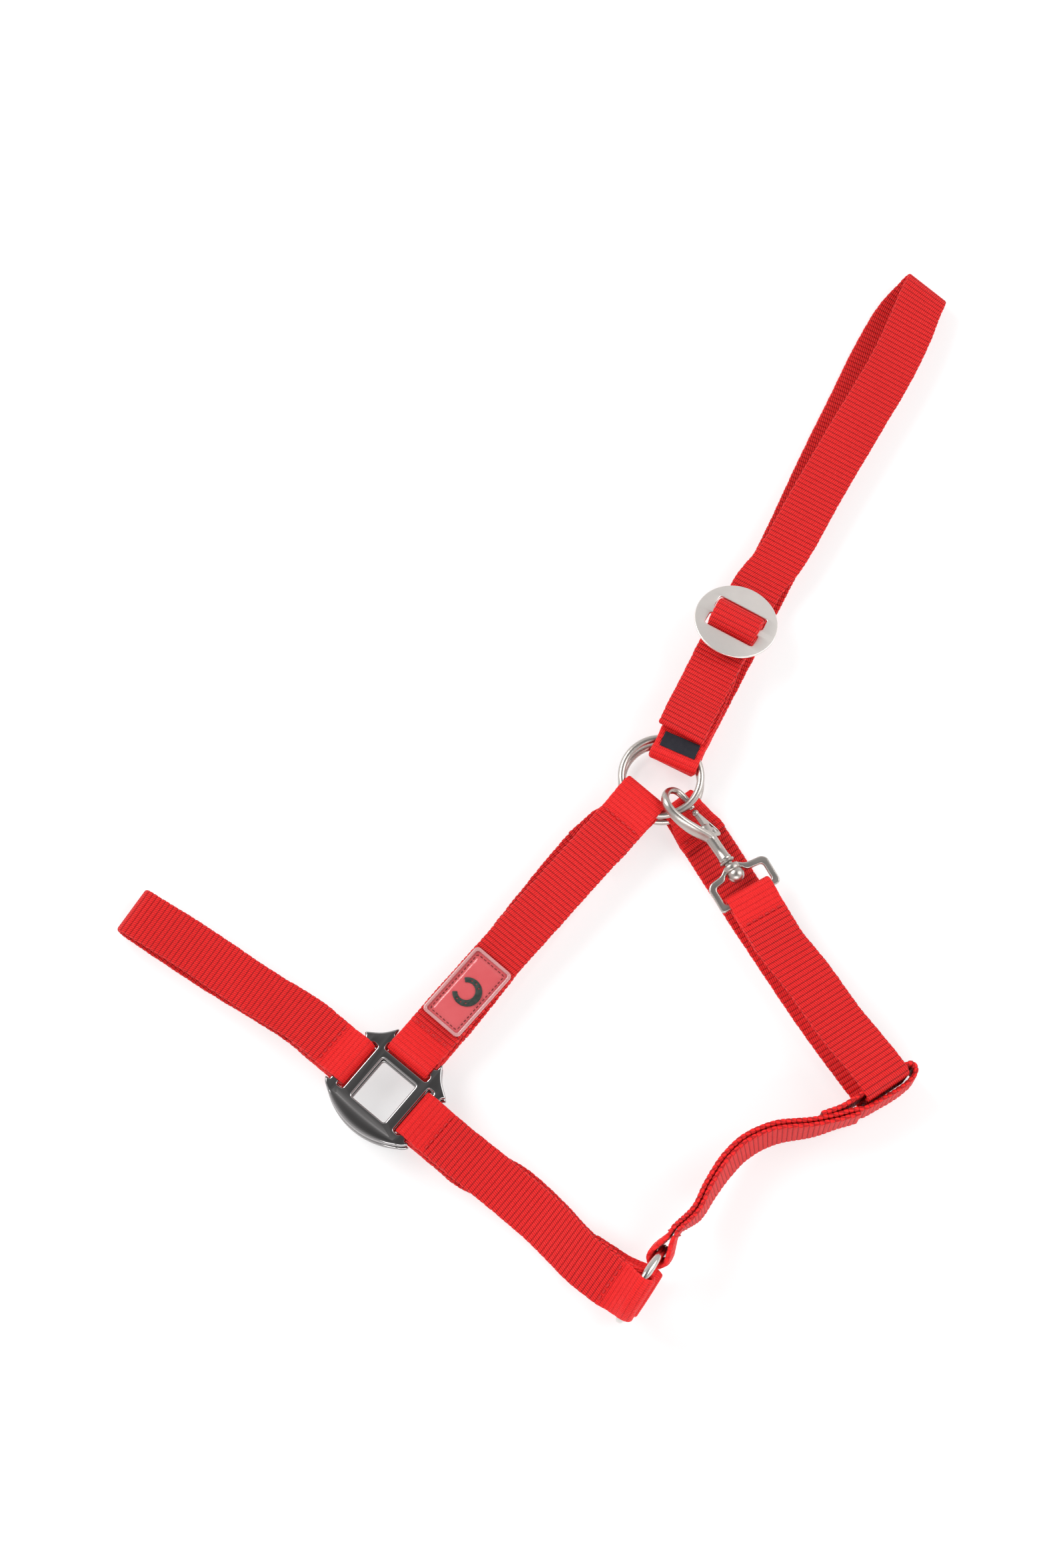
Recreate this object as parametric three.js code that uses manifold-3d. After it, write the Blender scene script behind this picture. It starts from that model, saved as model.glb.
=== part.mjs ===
// Flat nylon-webbing stable halter, lying on its off side with the near side up.
// Millimetres, +Z up. The nose points to -X, the poll to +X +Y, the chin to -Y.
import * as THREE from 'three';
import Module from 'manifold-3d';

const wasm = await Module();
wasm.setup();

// ---------------------------------------------------------------- dimensions
const WEB_WIDTH = 25;              // all straps are one-inch webbing
const WEB_THICK = 2.4;             // over the ribs
const LAYER_HALF = 1.4;            // half the distance between two sewn layers
const LAP = 20;                    // length sewn back on itself past the crease
const TABLE_LAYER = 1.35;          // centre height of webbing lying on the table

const RING_RADIUS = 19.9;          // cheek rings, to the middle of the wire
const RING_WIRE = 1.9;
const NEAR_RING = new THREE.Vector3(65.0, 5.5, 17.0);
const OFF_RING = new THREE.Vector3(65.4, 5.2, 5.1);

const LEAD_RADIUS = 20;            // lead ring under the chin, stands upright
const LEAD_WIRE = 2.1;
const LEAD_RING = new THREE.Vector3(53.1, -250.4, 25.8);
const LEAD_HEADING = 57;           // heading of the plane the lead ring stands in
const NEAR_CHIN_ON_RING = 122;     // places round the lead ring, from its level side
const CONNECTOR_ON_RING = 11;
const OFF_CHIN_ON_RING = -94;

const NEAR_CHEEK_ON_RING = 229;
const OFF_CHEEK_ON_RING = 222;
const THROAT_ON_RING = -53;
const CROWN_ON_RING = 63;

const RING_LOOP = RING_WIRE + 0.65 + WEB_THICK / 2;   // middle of webbing round a ring
const LEAD_LOOP = LEAD_WIRE + 1.1 + WEB_THICK / 2;
const RING_SLACK = 4.1;            // the wire curves away by this much under the selvedges
const LEAD_SAG = 4.3;              // the selvedges on the lead ring are drawn in by this much
const PINCH = 0.8;                 // width left to a strap that crowds with another on a ring
const ARC_STEPS = 11;              // facets of webbing round a bar
const THREAD_LIFT = 0.5;           // middle of a row of stitches above the webbing
const RING_FACETS = 48;
const WIRE_FACETS = 8;

const SQUARE_XY = [-73.0, -154.1];
const SQUARE_HEADING = 50;         // the cheek side of the square looks this way
const SQUARE_Z = { near: 15.7, off: 5.2 };
const SQUARE_THICK = 3.2;
const CRESCENT_CENTRE = 14.8;      // outer edge of the crescent, as an arc
const CRESCENT_RADIUS = 38.8;
const CRESCENT_THICK = 4.6;
const WINDOW = [24.7, 21.7];       // along and across the cheek side
const SLOT = [16.4, 20.0];         // inner and outer edge of each slot, from the centre
const SLOT_HALF = 13.2;
const SIDE_SLOT = [-12.2, 15];      // ends of the noseband and chin slots
const SQUARE_BAR = 22.2;           // middle of the bars the straps wrap
const SQUARE_LOOP = 2.65 + WEB_THICK / 2;

const DISC = new THREE.Vector3(103.6, 85.8, 21.0);
const DISC_RADIUS = 21.5;
const DISC_THICK = 1.3;
const DISC_HEADING = 61;           // crown strap heading where it crosses the disc
const DISC_TILT = 17;
const DISC_SLOT = [2.0, 9.4];
const DISC_SLOT_HALF = 13.6;
const BAR_LOOP = 2.4 + WEB_THICK / 2;

const CROWN_LOOP = BAR_LOOP + 0.3 + WEB_THICK;
const TAB_HEADING = 65.9;

const BIGHT = new THREE.Vector3(172.5, -150, 0);   // where the throat strap doubles back
const THROAT_HEADING = -56.6;

const SNAP_ROOT = new THREE.Vector3(85.8, -19.7, 13.5);
const SHANK_HEADING = 123.4;
const SHANK_RADIUS = 3.1;
const EYE_HEADING = 120;
const EYE_BAR = new THREE.Vector3(109.2, -54.9, 13.5);
const EYE_BAR_RADIUS = 1.7;
const EYE_WIDTH = 34;
const EYE_LOOP = EYE_BAR_RADIUS + 0.4 + WEB_THICK / 2;
const GATE_PIVOT = [-5, -2];       // along the shank and towards the spine
const GATE_HALF = 1.2;
const RIVET_AT = -29.4;            // centre of the swivel rivet's round head
const RIVET_RADIUS = 4.3;
const COLLAR = [-22.2, -20.8];
const EYE_BOSS_AT = -1.1;

const BADGE = { length: 42, width: 23.4, base: 1.1, rim: 2.4, rimWidth: 1.7 };
const BADGE_AT = new THREE.Vector3(-32.0, -105.6, 19.2);
const LABEL = [19, 8, 0.5];
const LABEL_AT = new THREE.Vector3(74.4, 20.3, 22.5);

// ------------------------------------------------------------------ materials
const look = (color, roughness, metalness = 0) =>
  new THREE.MeshStandardMaterial({ color, roughness, metalness });
const webbingRed = () => look(0xdc1e1e, 0.85);
const threadRed = () => look(0xc81616, 0.8);
const satinNickel = () => look(0xcdc3be, 0.32, 1);
const brightNickel = () => look(0xd6d0cc, 0.18, 1);
const darkChrome = () => look(0x8c8a8a, 0.1, 1);
const clearVinyl = () => look(0xcd5055, 0.25);
const emblemGreen = () => look(0x2d3430, 0.6);
const labelBlack = () => look(0x1c1d24, 0.8);
const springSteel = () => look(0x9a9a9a, 0.35, 1);

// -------------------------------------------------------------- small helpers
const UP = new THREE.Vector3(0, 0, 1);
const rad = (degrees) => degrees * Math.PI / 180;
const heading = (degrees) => new THREE.Vector3(Math.cos(rad(degrees)), Math.sin(rad(degrees)), 0);
const v = (x, y, z) => new THREE.Vector3(x, y, z);
const mix = (a, b, t) => a + (b - a) * t;
const along = (origin, ...steps) => {
  const point = origin.clone();
  for (const [direction, distance] of steps) point.addScaledVector(direction, distance);
  return point;
};

function meshFromRows(rows) {
  // Closed skin through rings of points: rows[i][j], each row one closed outline.
  const size = rows[0].length;
  const positions = rows.flat().flatMap((p) => [p.x, p.y, p.z]);
  const index = [];
  for (let i = 0; i + 1 < rows.length; i += 1) {
    for (let j = 0; j < size; j += 1) {
      const next = (j + 1) % size;
      const a = i * size + j;
      const b = i * size + next;
      const c = (i + 1) * size + j;
      const d = (i + 1) * size + next;
      index.push(a, b, d, a, d, c);
    }
  }
  const geometry = new THREE.BufferGeometry();
  geometry.setAttribute('position', new THREE.Float32BufferAttribute(positions, 3));
  return { geometry, index, size, count: rows.length };
}

function closeAndOrient({ geometry, index }, caps) {
  index.push(...caps);
  geometry.setIndex(index);
  if (signedVolume(geometry) < 0) {
    for (let i = 0; i < index.length; i += 3) {
      [index[i + 1], index[i + 2]] = [index[i + 2], index[i + 1]];
    }
    geometry.setIndex(index);
  }
  return geometry;
}

function signedVolume(geometry) {
  const pos = geometry.getAttribute('position');
  const idx = geometry.getIndex();
  const corner = [v(0, 0, 0), v(0, 0, 0), v(0, 0, 0)];
  let volume = 0;
  for (let i = 0; i < idx.count; i += 3) {
    corner.forEach((c, k) => c.fromBufferAttribute(pos, idx.getX(i + k)));
    volume += corner[0].dot(corner[1].clone().cross(corner[2]));
  }
  return volume / 6;
}

const toSolid = (geometry) => {
  const pos = geometry.getAttribute('position');
  const order = geometry.getIndex();
  const count = order ? order.count : pos.count;
  const corner = (i) => (order ? order.getX(i) : i);
  const seen = new Map();
  const points = [];
  const remap = [];
  for (let i = 0; i < pos.count; i += 1) {
    const key = [pos.getX(i), pos.getY(i), pos.getZ(i)].map((n) => Math.round(n * 1e4)).join();
    if (!seen.has(key)) {
      seen.set(key, points.length / 3);
      points.push(pos.getX(i), pos.getY(i), pos.getZ(i));
    }
    remap.push(seen.get(key));
  }
  const tris = [];
  for (let i = 0; i < count; i += 3) {
    const t = [0, 1, 2].map((k) => remap[corner(i + k)]);
    if (t[0] !== t[1] && t[1] !== t[2] && t[0] !== t[2]) tris.push(...t);
  }
  return new wasm.Manifold(new wasm.Mesh({
    numProp: 3,
    vertProperties: new Float32Array(points),
    triVerts: new Uint32Array(tris),
  }));
};

const toGeometry = (solid) => {
  const mesh = solid.getMesh();
  const geometry = new THREE.BufferGeometry();
  geometry.setAttribute('position', new THREE.BufferAttribute(mesh.vertProperties, 3));
  geometry.setIndex(new THREE.BufferAttribute(mesh.triVerts, 1));
  return geometry;
};

const join = (...parts) => parts.map(toSolid).reduce((a, b) => a.add(b));
const placed = (geometry, origin, xAxis, yAxis, zAxis) =>
  geometry.applyMatrix4(new THREE.Matrix4().makeBasis(xAxis, yAxis, zAxis).setPosition(origin));

// ------------------------------------------------------------------- webbing
// A station of webbing: p its middle, w the unit vector across it, and sag the
// way its two selvedges are pulled where it hangs on a round wire.
const station = (p, w, sag = v(0, 0, 0), width = 1) => ({ p, w, sag, width });

function webbing(stations, columns = 4) {
  const half = WEB_WIDTH / 2;
  const rows = stations.map(({ p, w, sag, width }, i) => {
    const before = stations[Math.max(i - 1, 0)].p;
    const after = stations[Math.min(i + 1, stations.length - 1)].p;
    const tangent = after.clone().sub(before).normalize();
    const normal = tangent.clone().cross(w).normalize();
    const side = (sign) => [...Array(columns + 1).keys()].map((k) => {
      const u = mix(-1, 1, k / columns);
      return along(p, [w, u * half * width], [sag, u * u], [normal, sign * WEB_THICK / 2]);
    });
    return [...side(1), ...side(-1).reverse()];
  });
  const skin = meshFromRows(rows);
  const last = (skin.count - 1) * skin.size;
  const caps = [];
  for (let k = 0; k < columns; k += 1) {
    const a = k;
    const b = k + 1;
    const c = skin.size - 2 - k;
    const d = skin.size - 1 - k;
    caps.push(a, c, b, a, d, c);
    caps.push(last + a, last + b, last + c, last + a, last + c, last + d);
  }
  return closeAndOrient(skin, caps);
}

// One end of a strap, turned round a bar and sewn back on itself.
// away: from the bar to the strap; across: along the bar; reach: straight part of
// the loop; drop: how far the sewn layers sit off the bar; under: strap leaves below;
// pinch: how much narrower the webbing is where it crowds on a ring; settle: the way
// across the strap once it has left the bar; stretch: how far the fold stands off a
// curved wire at its middle, so that it can run straight from selvedge to selvedge.
// path runs from the tip of the lap, round the bar and out along the strap.
function sewnEnd({
  bar, away, across, radius, crease = 9, lap = LAP, reach = 0, drop = 0, sag = v(0, 0, 0),
  slack = 0, under = false, pinch = 1, seamAt = crease + 3.4, seamBelow = false,
  settle = null, stretch = 0,
}) {
  const w = across.clone().normalize();
  const d = away.clone().addScaledVector(w, -away.dot(w)).normalize();
  const n = d.clone().cross(w).normalize();
  if (n.z < -0.05) n.negate();
  if (under) n.negate();
  const at = (x, y, share) =>
    station(along(bar, [d, x - slack], [n, y]), w.clone(), sag.clone().multiplyScalar(share),
      mix(1, pinch, share));
  const touch = (y, side) => Math.atan2(y, crease - reach)
    + side * Math.acos(radius / Math.hypot(crease - reach, y));
  const first = touch(drop - LAYER_HALF, -1);
  const last = touch(drop + LAYER_HALF, 1);
  const arc = [];
  for (let i = 0; i <= ARC_STEPS; i += 1) {
    const angle = mix(first, last - 2 * Math.PI, i / ARC_STEPS);
    const shift = Math.cos(angle) > 0 ? reach : -stretch;
    arc.push(at(shift + radius * Math.cos(angle), radius * Math.sin(angle), 1));
  }
  const layer = (y) => {
    const out = [at(crease + lap, y, 0), at(crease + 3, y, 0), at(crease, y, 0.25)];
    if (settle) out.forEach((place, i) => place.w.lerp(settle, [1, 0.8, 0.6][i]).normalize());
    return out;
  };
  const path = [...layer(drop - LAYER_HALF), ...arc, ...layer(drop + LAYER_HALF).reverse()];
  const face = under !== seamBelow ? n.clone().negate() : n;
  const offset = under !== seamBelow ? -drop : drop;
  const top = offset + LAYER_HALF + WEB_THICK / 2 + THREAD_LIFT;
  const seamAcross = settle ? w.clone().lerp(settle, 0.8).normalize() : w;
  const seamUp = d.clone().cross(seamAcross).normalize();
  if (seamUp.dot(face) < 0) seamUp.negate();
  const seam = { p: along(bar, [d, seamAt - slack], [face, top]), w: seamAcross, n: seamUp };
  return { path, seam };
}

const strap = (path, seams) => ({ geometry: webbing(path), seams });

const across = (turn, tip) =>
  heading(turn).multiplyScalar(Math.cos(rad(tip))).addScaledVector(UP, Math.sin(rad(tip)));

// The free course of a strap: [x, y, z, heading across it, tip above level].
function course(points, perSpan = 3) {
  const curve = new THREE.CatmullRomCurve3(points.map(([x, y, z]) => v(x, y, z)), false, 'centripetal');
  const spans = points.length - 1;
  const out = [];
  for (let i = 0; i <= spans * perSpan; i += 1) {
    const t = i / (spans * perSpan);
    const span = Math.min(Math.floor(i / perSpan), spans - 1);
    const share = i / perSpan - span;
    const turn = mix(points[span][3], points[span + 1][3], share);
    const tip = mix(points[span][4] || 0, points[span + 1][4] || 0, share);
    out.push(station(curve.getPoint(t), across(turn, tip)));
  }
  return out;
}

// Where the ends of the straps are held.
const onTable = (height) => ({
  under: true,
  crease: 13,
  drop: height - TABLE_LAYER - LAYER_HALF,
});

const leadAxisX = heading(LEAD_HEADING);
const leadAxis = leadAxisX.clone().cross(UP);
const leadOut = (degrees) => along(v(0, 0, 0),
  [leadAxisX, Math.cos(rad(degrees))], [UP, Math.sin(rad(degrees))]);
const leadBar = (degrees) => along(LEAD_RING, [leadOut(degrees), LEAD_RADIUS]);

const squareAxis = (degrees) => heading(SQUARE_HEADING + degrees);
const squareBar = (side, degrees, shift = 0) => along(
  v(SQUARE_XY[0], SQUARE_XY[1], SQUARE_Z[side]),
  [squareAxis(degrees), SQUARE_BAR], [squareAxis(degrees + 90), shift]);

const discRun = heading(DISC_HEADING);
const discAcross = heading(DISC_HEADING - 90);

// The bight of the throat strap: s beyond the wall it turns round, l across it.
const bightPoint = (s, l) => along(BIGHT, [heading(THROAT_HEADING), s], [heading(THROAT_HEADING + 90), l]);
const atBight = (s, l, z) => {
  const { x, y } = bightPoint(s, l);
  return [x, y, z, THROAT_HEADING + 90];
};
const upright = (s, l, z) => {
  const { x, y } = bightPoint(s, l);
  return [x, y, z, 0, 90];
};

// -------------------------------------------------------------------- straps
const ringEnd = (ring, degrees, options) => {
  const out = heading(degrees);
  return sewnEnd({
    bar: along(ring, [out, RING_RADIUS]),
    away: out,
    across: heading(degrees + 90),
    radius: RING_LOOP,
    stretch: RING_SLACK,
    slack: 0.9,
    ...options,
  });
};

// Two straps crowd together on the far cheek ring, so they draw in at the wire.
const crowded = { pinch: PINCH, stretch: RING_SLACK * PINCH * PINCH };

function cheekStrap(side) {
  const low = side === 'off';
  const ring = low ? OFF_RING : NEAR_RING;
  const top = low
    ? ringEnd(ring, OFF_CHEEK_ON_RING, { ...onTable(OFF_RING.z), ...crowded })
    : ringEnd(ring, NEAR_CHEEK_ON_RING);
  const bottom = sewnEnd({
    bar: squareBar(side, 0, 0.3),
    away: squareAxis(0),
    across: squareAxis(-90),
    radius: SQUARE_LOOP,
    crease: 11,
    ...(low ? onTable(SQUARE_Z.off) : {}),
  });
  return strap([...top.path, ...bottom.path.reverse()], { ring: top, square: bottom });
}

function noseband() {
  const across = squareAxis(0);
  const end = (side) => sewnEnd({
    bar: squareBar(side, 90, -1.9),
    away: squareAxis(90),
    across,
    radius: SQUARE_LOOP,
    ...(side === 'off' ? onTable(SQUARE_Z.off) : {}),
  });
  const near = end('near');
  const off = end('off');
  const round = course([
    [-135, -104.6, 15.8, 54.5],
    [-170, -80.6, 14, 55],
    [-194.9, -64.8, 12.6, 55.5],
    [-198.3, -62.4, 11.1, 55.5],
    [-199.6, -61.5, 7, 55.5],
    [-198.3, -62.4, 2.9, 55.5],
    [-194.9, -64.8, 1.7, 55.5],
    [-160, -88.2, TABLE_LAYER, 54.5],
  ], 2);
  return strap([...near.path, ...round, ...off.path.reverse()], { near, off });
}

function chinStrap(side) {
  const low = side === 'off';
  const place = low ? OFF_CHIN_ON_RING : NEAR_CHIN_ON_RING;
  const bar = leadBar(place);
  const square = sewnEnd({
    bar: squareBar(side, -90, 0.9),
    away: squareAxis(-90),
    across: squareAxis(0),
    radius: SQUARE_LOOP,
    ...(low ? onTable(SQUARE_Z.off) : {}),
  });
  const ring = sewnEnd({
    bar,
    away: along(v(0, 0, 0), [leadAxis, -1], [UP, low ? 0 : -0.2]),
    across: leadOut(low ? place + 90 : place - 90),
    radius: LEAD_LOOP,
    sag: leadOut(place).multiplyScalar(-LEAD_SAG),
    settle: across(LEAD_HEADING - 3, low ? 0 : 14),
    ...(low ? onTable(bar.z) : {}),
  });
  const middle = low
    ? course([[-14, -202.5, TABLE_LAYER, 48], [4, -219, TABLE_LAYER, 49]], 2)
    : course([[-20, -198.5, 19, 48, 4], [4, -221.5, 27.5, 49, 12]], 2);
  return strap([...square.path, ...middle, ...ring.path.reverse()], { square, ring });
}

function throatStrap() {
  const ring = ringEnd(OFF_RING, THROAT_ON_RING, {
    ...onTable(OFF_RING.z), ...crowded, crease: 10, lap: 8,
  });
  const eye = sewnEnd({
    bar: EYE_BAR,
    away: heading(EYE_HEADING + 180),
    across: heading(EYE_HEADING - 90),
    radius: EYE_LOOP,
  });
  const off = course([
    [108, -57.5, TABLE_LAYER, 33],
    [121.2, -78.5, TABLE_LAYER, 32],
    [144, -114, TABLE_LAYER, 33],
  ], 2);
  const bight = course([
    atBight(-3, -2.6, TABLE_LAYER),
    atBight(1, -2.5, TABLE_LAYER),
    atBight(2.6, -2.4, 1.9),
    atBight(3.4, -2.2, 3.6),
    atBight(3.6, -2, 6),
    atBight(3.6, -1, 18),
    atBight(3.6, -0.5, 26.5),
    atBight(3, -0.5, 29),
    atBight(0.8, -0.5, 30.1),
    atBight(-4, -0.5, 29.9),
    atBight(-14, -0.6, 27.2),
  ], 1);
  const near = course([
    [152, -121.5, 21.5, 33],
    [136, -96.5, 16.4, 32],
  ], 2);
  return strap([...ring.path, ...off, ...bight, ...near, ...eye.path.reverse()], { ring, eye });
}

function connectorStrap() {
  // One strip on edge: doubled from the lead ring to the throat strap, whose
  // bight its far loop encloses.
  const spine = [
    [150, -168.5, 13],
    [138, -171.7, 13],
    [118.8, -174.8, 14],
    [105, -181.5, 15.4],
    [95.7, -190.5, 17],
    [87, -203, 19],
    [80.1, -215, 21],
  ];
  const layer = (side) => spine.map(([x, y, z], i) => {
    const [x0, y0] = spine[Math.max(i - 1, 0)];
    const [x1, y1] = spine[Math.min(i + 1, spine.length - 1)];
    const run = v(x1 - x0, y1 - y0, 0).normalize();
    const out = run.clone().cross(UP);
    return [x + out.x * side, y + out.y * side, z, 0, 90];
  });
  const ring = sewnEnd({
    bar: leadBar(CONNECTOR_ON_RING),
    away: leadOut(CONNECTOR_ON_RING),
    across: leadOut(CONNECTOR_ON_RING + 90),
    radius: LEAD_LOOP,
    sag: leadOut(CONNECTOR_ON_RING).multiplyScalar(-LEAD_SAG),
    slack: 0.9,
    lap: 3,
    seamAt: 10,
  });
  const outer = course([[160.5, -166.9, 13, 0, 90], ...layer(-LAYER_HALF)], 2);
  const inner = course([
    ...layer(LAYER_HALF).reverse(),
    upright(4.2, -20.8, 13),
    upright(6.6, -16, 13),
    upright(7.4, -8, 13),
    upright(7.9, 1, 13),
    upright(7.7, 8, 13.3),
    upright(6.4, 13.6, 13.6),
    upright(3.8, 16.1, 14.4),
    upright(1.0, 15.4, 15.2),
    upright(0, 12, 15.6),
    upright(0, -5, 15.6),
    upright(0, -18.5, 15.4),
    [151.6, -163.4, 14.6, 0, 90],
    [141.5, -167, 13.6, 0, 90],
  ], 2);
  return strap([...outer, ...ring.path.reverse(), ...inner], { ring });
}

function crownStrap() {
  const ring = ringEnd(OFF_RING, CROWN_ON_RING, { ...onTable(OFF_RING.z), across: heading(-27) });
  const body = course([
    [102, 77, TABLE_LAYER, -27],
    [132.1, 136.2, TABLE_LAYER, -26],
    [147.8, 170.5, TABLE_LAYER, -25],
    [165.9, 208, TABLE_LAYER, -25],
    [180.5, 238, TABLE_LAYER, -27],
    [192.5, 258.5, TABLE_LAYER, -33],
    [200.5, 267.5, 2.4, -39],
    [206.4, 272.4, 6.6, -42],
    [206.6, 270.4, 10.8, -40],
    [203.2, 263, 12.9, -36],
    [197, 247.5, 13.8, -31],
    [186.9, 226.3, 14, -30],
    [166.5, 191, 14, -29.5],
    [147.3, 157.8, 13.6, -29],
    [128, 123.5, 12.6, -29],
  ], 2);
  const acrossDisc = DISC_HEADING - 90;
  const overDisc = (u, z, shift = 0) =>
    station(along(DISC, [discRun, u], [discAcross, shift], [UP, z]), heading(acrossDisc));
  const climb = [[26, -8.9], [14, -8.7], [10, -7.7], [7.5, -4.7]].map(([u, z]) => overDisc(u, z));
  const turn = [];
  for (let angle = -8; angle <= 132; angle += 20) {
    turn.push(overDisc(CROWN_LOOP * Math.cos(rad(angle)), CROWN_LOOP * Math.sin(rad(angle))));
  }
  const tail = [
    [-5.6, 3.2, 0.1], [-8.3, -1.2, 0.2], [-10.4, -2.3, 0.3], [-14, -2.3, 0.5],
    [-32, -1.1, 1.5], [-44, 1.2, 2.3], [-52, 4.2, 2.8], [-56, 4.9, 3],
  ].map(([u, z, shift]) => overDisc(u, z, shift));
  const hem = [];
  for (let angle = 90; angle >= -90; angle -= 36) {
    hem.push(overDisc(-64.4 - 1.3 * Math.cos(rad(angle)), 3.6 + 1.3 * Math.sin(rad(angle)), 3.6));
  }
  hem.push(overDisc(-56.5, 2.3, 3));
  return strap([...ring.path, ...body, ...climb, ...turn, ...tail, ...hem], { ring });
}

function nearTab() {
  const disc = sewnEnd({
    bar: along(DISC, [discAcross, 0.6]),
    away: discRun.clone().negate(),
    across: discAcross,
    radius: BAR_LOOP,
    crease: 7.6,
    lap: 9,
    drop: -6.5,
    seamBelow: true,
  });
  const ring = sewnEnd({
    bar: v(72.2, 15.4, NEAR_RING.z),
    away: heading(TAB_HEADING),
    across: heading(TAB_HEADING - 90),
    radius: RING_LOOP,
    reach: 9.5,
    crease: 19,
    lap: 12,
    drop: -0.4,
  });
  return strap([...disc.path, ...ring.path.reverse()], { disc, ring });
}

// ------------------------------------------------------------------ hardware
function wireRing(centre, axis, radius, wire) {
  const torus = new THREE.TorusGeometry(radius, wire, WIRE_FACETS, RING_FACETS);
  const x = Math.abs(axis.z) > 0.9 ? v(1, 0, 0) : UP.clone();
  const y = axis.clone().cross(x);
  return toGeometry(toSolid(placed(torus, centre, x, y, axis)));
}

const outline = (points) => new THREE.Shape(points.map(([x, y]) => new THREE.Vector2(x, y)));
const hole = (points) => new THREE.Path(points.map(([x, y]) => new THREE.Vector2(x, y)));
const box2 = (x0, x1, y0, y1) => [[x0, y0], [x1, y0], [x1, y1], [x0, y1]];
const flatPlate = (shape, thick, bevel = 0) => {
  const depth = thick - 2 * bevel;
  const geometry = new THREE.ExtrudeGeometry(shape, {
    depth,
    bevelEnabled: bevel > 0,
    bevelThickness: bevel,
    bevelSize: bevel,
    bevelOffset: -bevel,
    bevelSegments: 1,
    curveSegments: 8,
    steps: 1,
  });
  return geometry.translate(0, 0, -depth / 2);
};

function halterSquare(side) {
  // Local x looks along the cheek strap, local y along the noseband.
  const reach = SLOT[1] + 4.4;
  const plate = outline([
    [reach, -13.4], [29, -13.7], [21.8, -18.6], [16.5, -26.3], [15, -reach],
    [-12.6, -reach], [-12.6, -27], [-15.2, -25.2], [-17.4, -21.6],
    [-17.4, 21.6], [-15.2, 25.2], [-12.6, 27],
    [-12.6, reach], [15, reach], [16.5, 26.3], [21.8, 18.6], [29, 13.7], [reach, 13.4],
  ]);
  plate.holes.push(
    hole(box2(-WINDOW[0] / 2, WINDOW[0] / 2, -WINDOW[1] / 2, WINDOW[1] / 2)),
    hole(box2(SLOT[0], SLOT[1], -SLOT_HALF, SLOT_HALF)),
    hole(box2(SIDE_SLOT[0], SIDE_SLOT[1], SLOT[0], SLOT[1])),
    hole(box2(SIDE_SLOT[0], SIDE_SLOT[1], -SLOT[1], -SLOT[0])),
  );
  const crescentEdge = [];
  for (let angle = -35; angle <= 35; angle += 7) {
    crescentEdge.push([CRESCENT_CENTRE - CRESCENT_RADIUS * Math.cos(rad(angle)),
      CRESCENT_RADIUS * Math.sin(rad(angle))]);
  }
  crescentEdge.push([-13.2, 21], [-13.2, -21]);
  const solid = join(
    flatPlate(plate, SQUARE_THICK, 0.7),
    flatPlate(outline(crescentEdge.reverse()), CRESCENT_THICK, 1.3),
  );
  const geometry = toGeometry(solid);
  return placed(geometry, v(SQUARE_XY[0], SQUARE_XY[1], SQUARE_Z[side]),
    squareAxis(0), squareAxis(90), UP.clone());
}

function adjusterDisc() {
  const disc = new THREE.Shape();
  disc.absarc(0, 0, DISC_RADIUS, 0, 2 * Math.PI);
  for (const sign of [1, -1]) {
    const [inner, outer] = DISC_SLOT.map((d) => d * sign);
    disc.holes.push(hole(box2(-DISC_SLOT_HALF, DISC_SLOT_HALF,
      Math.min(inner, outer), Math.max(inner, outer))));
  }
  const plate = new THREE.ExtrudeGeometry(disc, {
    depth: DISC_THICK, bevelEnabled: false, curveSegments: 40, steps: 1,
  }).translate(0, 0, -DISC_THICK / 2);
  const run = along(v(0, 0, 0), [discRun, Math.cos(rad(DISC_TILT))], [UP, -Math.sin(rad(DISC_TILT))]);
  return toGeometry(toSolid(placed(plate, DISC, discAcross, run, discAcross.clone().cross(run))));
}

// Swivel snap. s runs up the shank, h towards the spine of the hook, b across it.
const shank = heading(SHANK_HEADING);
const hookSide = shank.clone().cross(UP).negate();
const hookOut = along(v(0, 0, 0), [hookSide, 0.68], [UP, 0.73]).normalize();
const hookAcross = shank.clone().cross(hookOut);
const inHook = (geometry) => placed(geometry, SNAP_ROOT, shank, hookOut, hookAcross);

function turned(profile, facets) {
  // Lathe profile in [radius, distance along the shank].
  const lathe = new THREE.LatheGeometry(profile.map(([r, s]) => new THREE.Vector2(r, s)), facets);
  return lathe.rotateZ(-Math.PI / 2);
}

function pinAlongB(s, h, radius, half, facets = 14) {
  return new THREE.CylinderGeometry(radius, radius, 2 * half, facets)
    .rotateX(Math.PI / 2).translate(s, h, 0);
}

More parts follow.
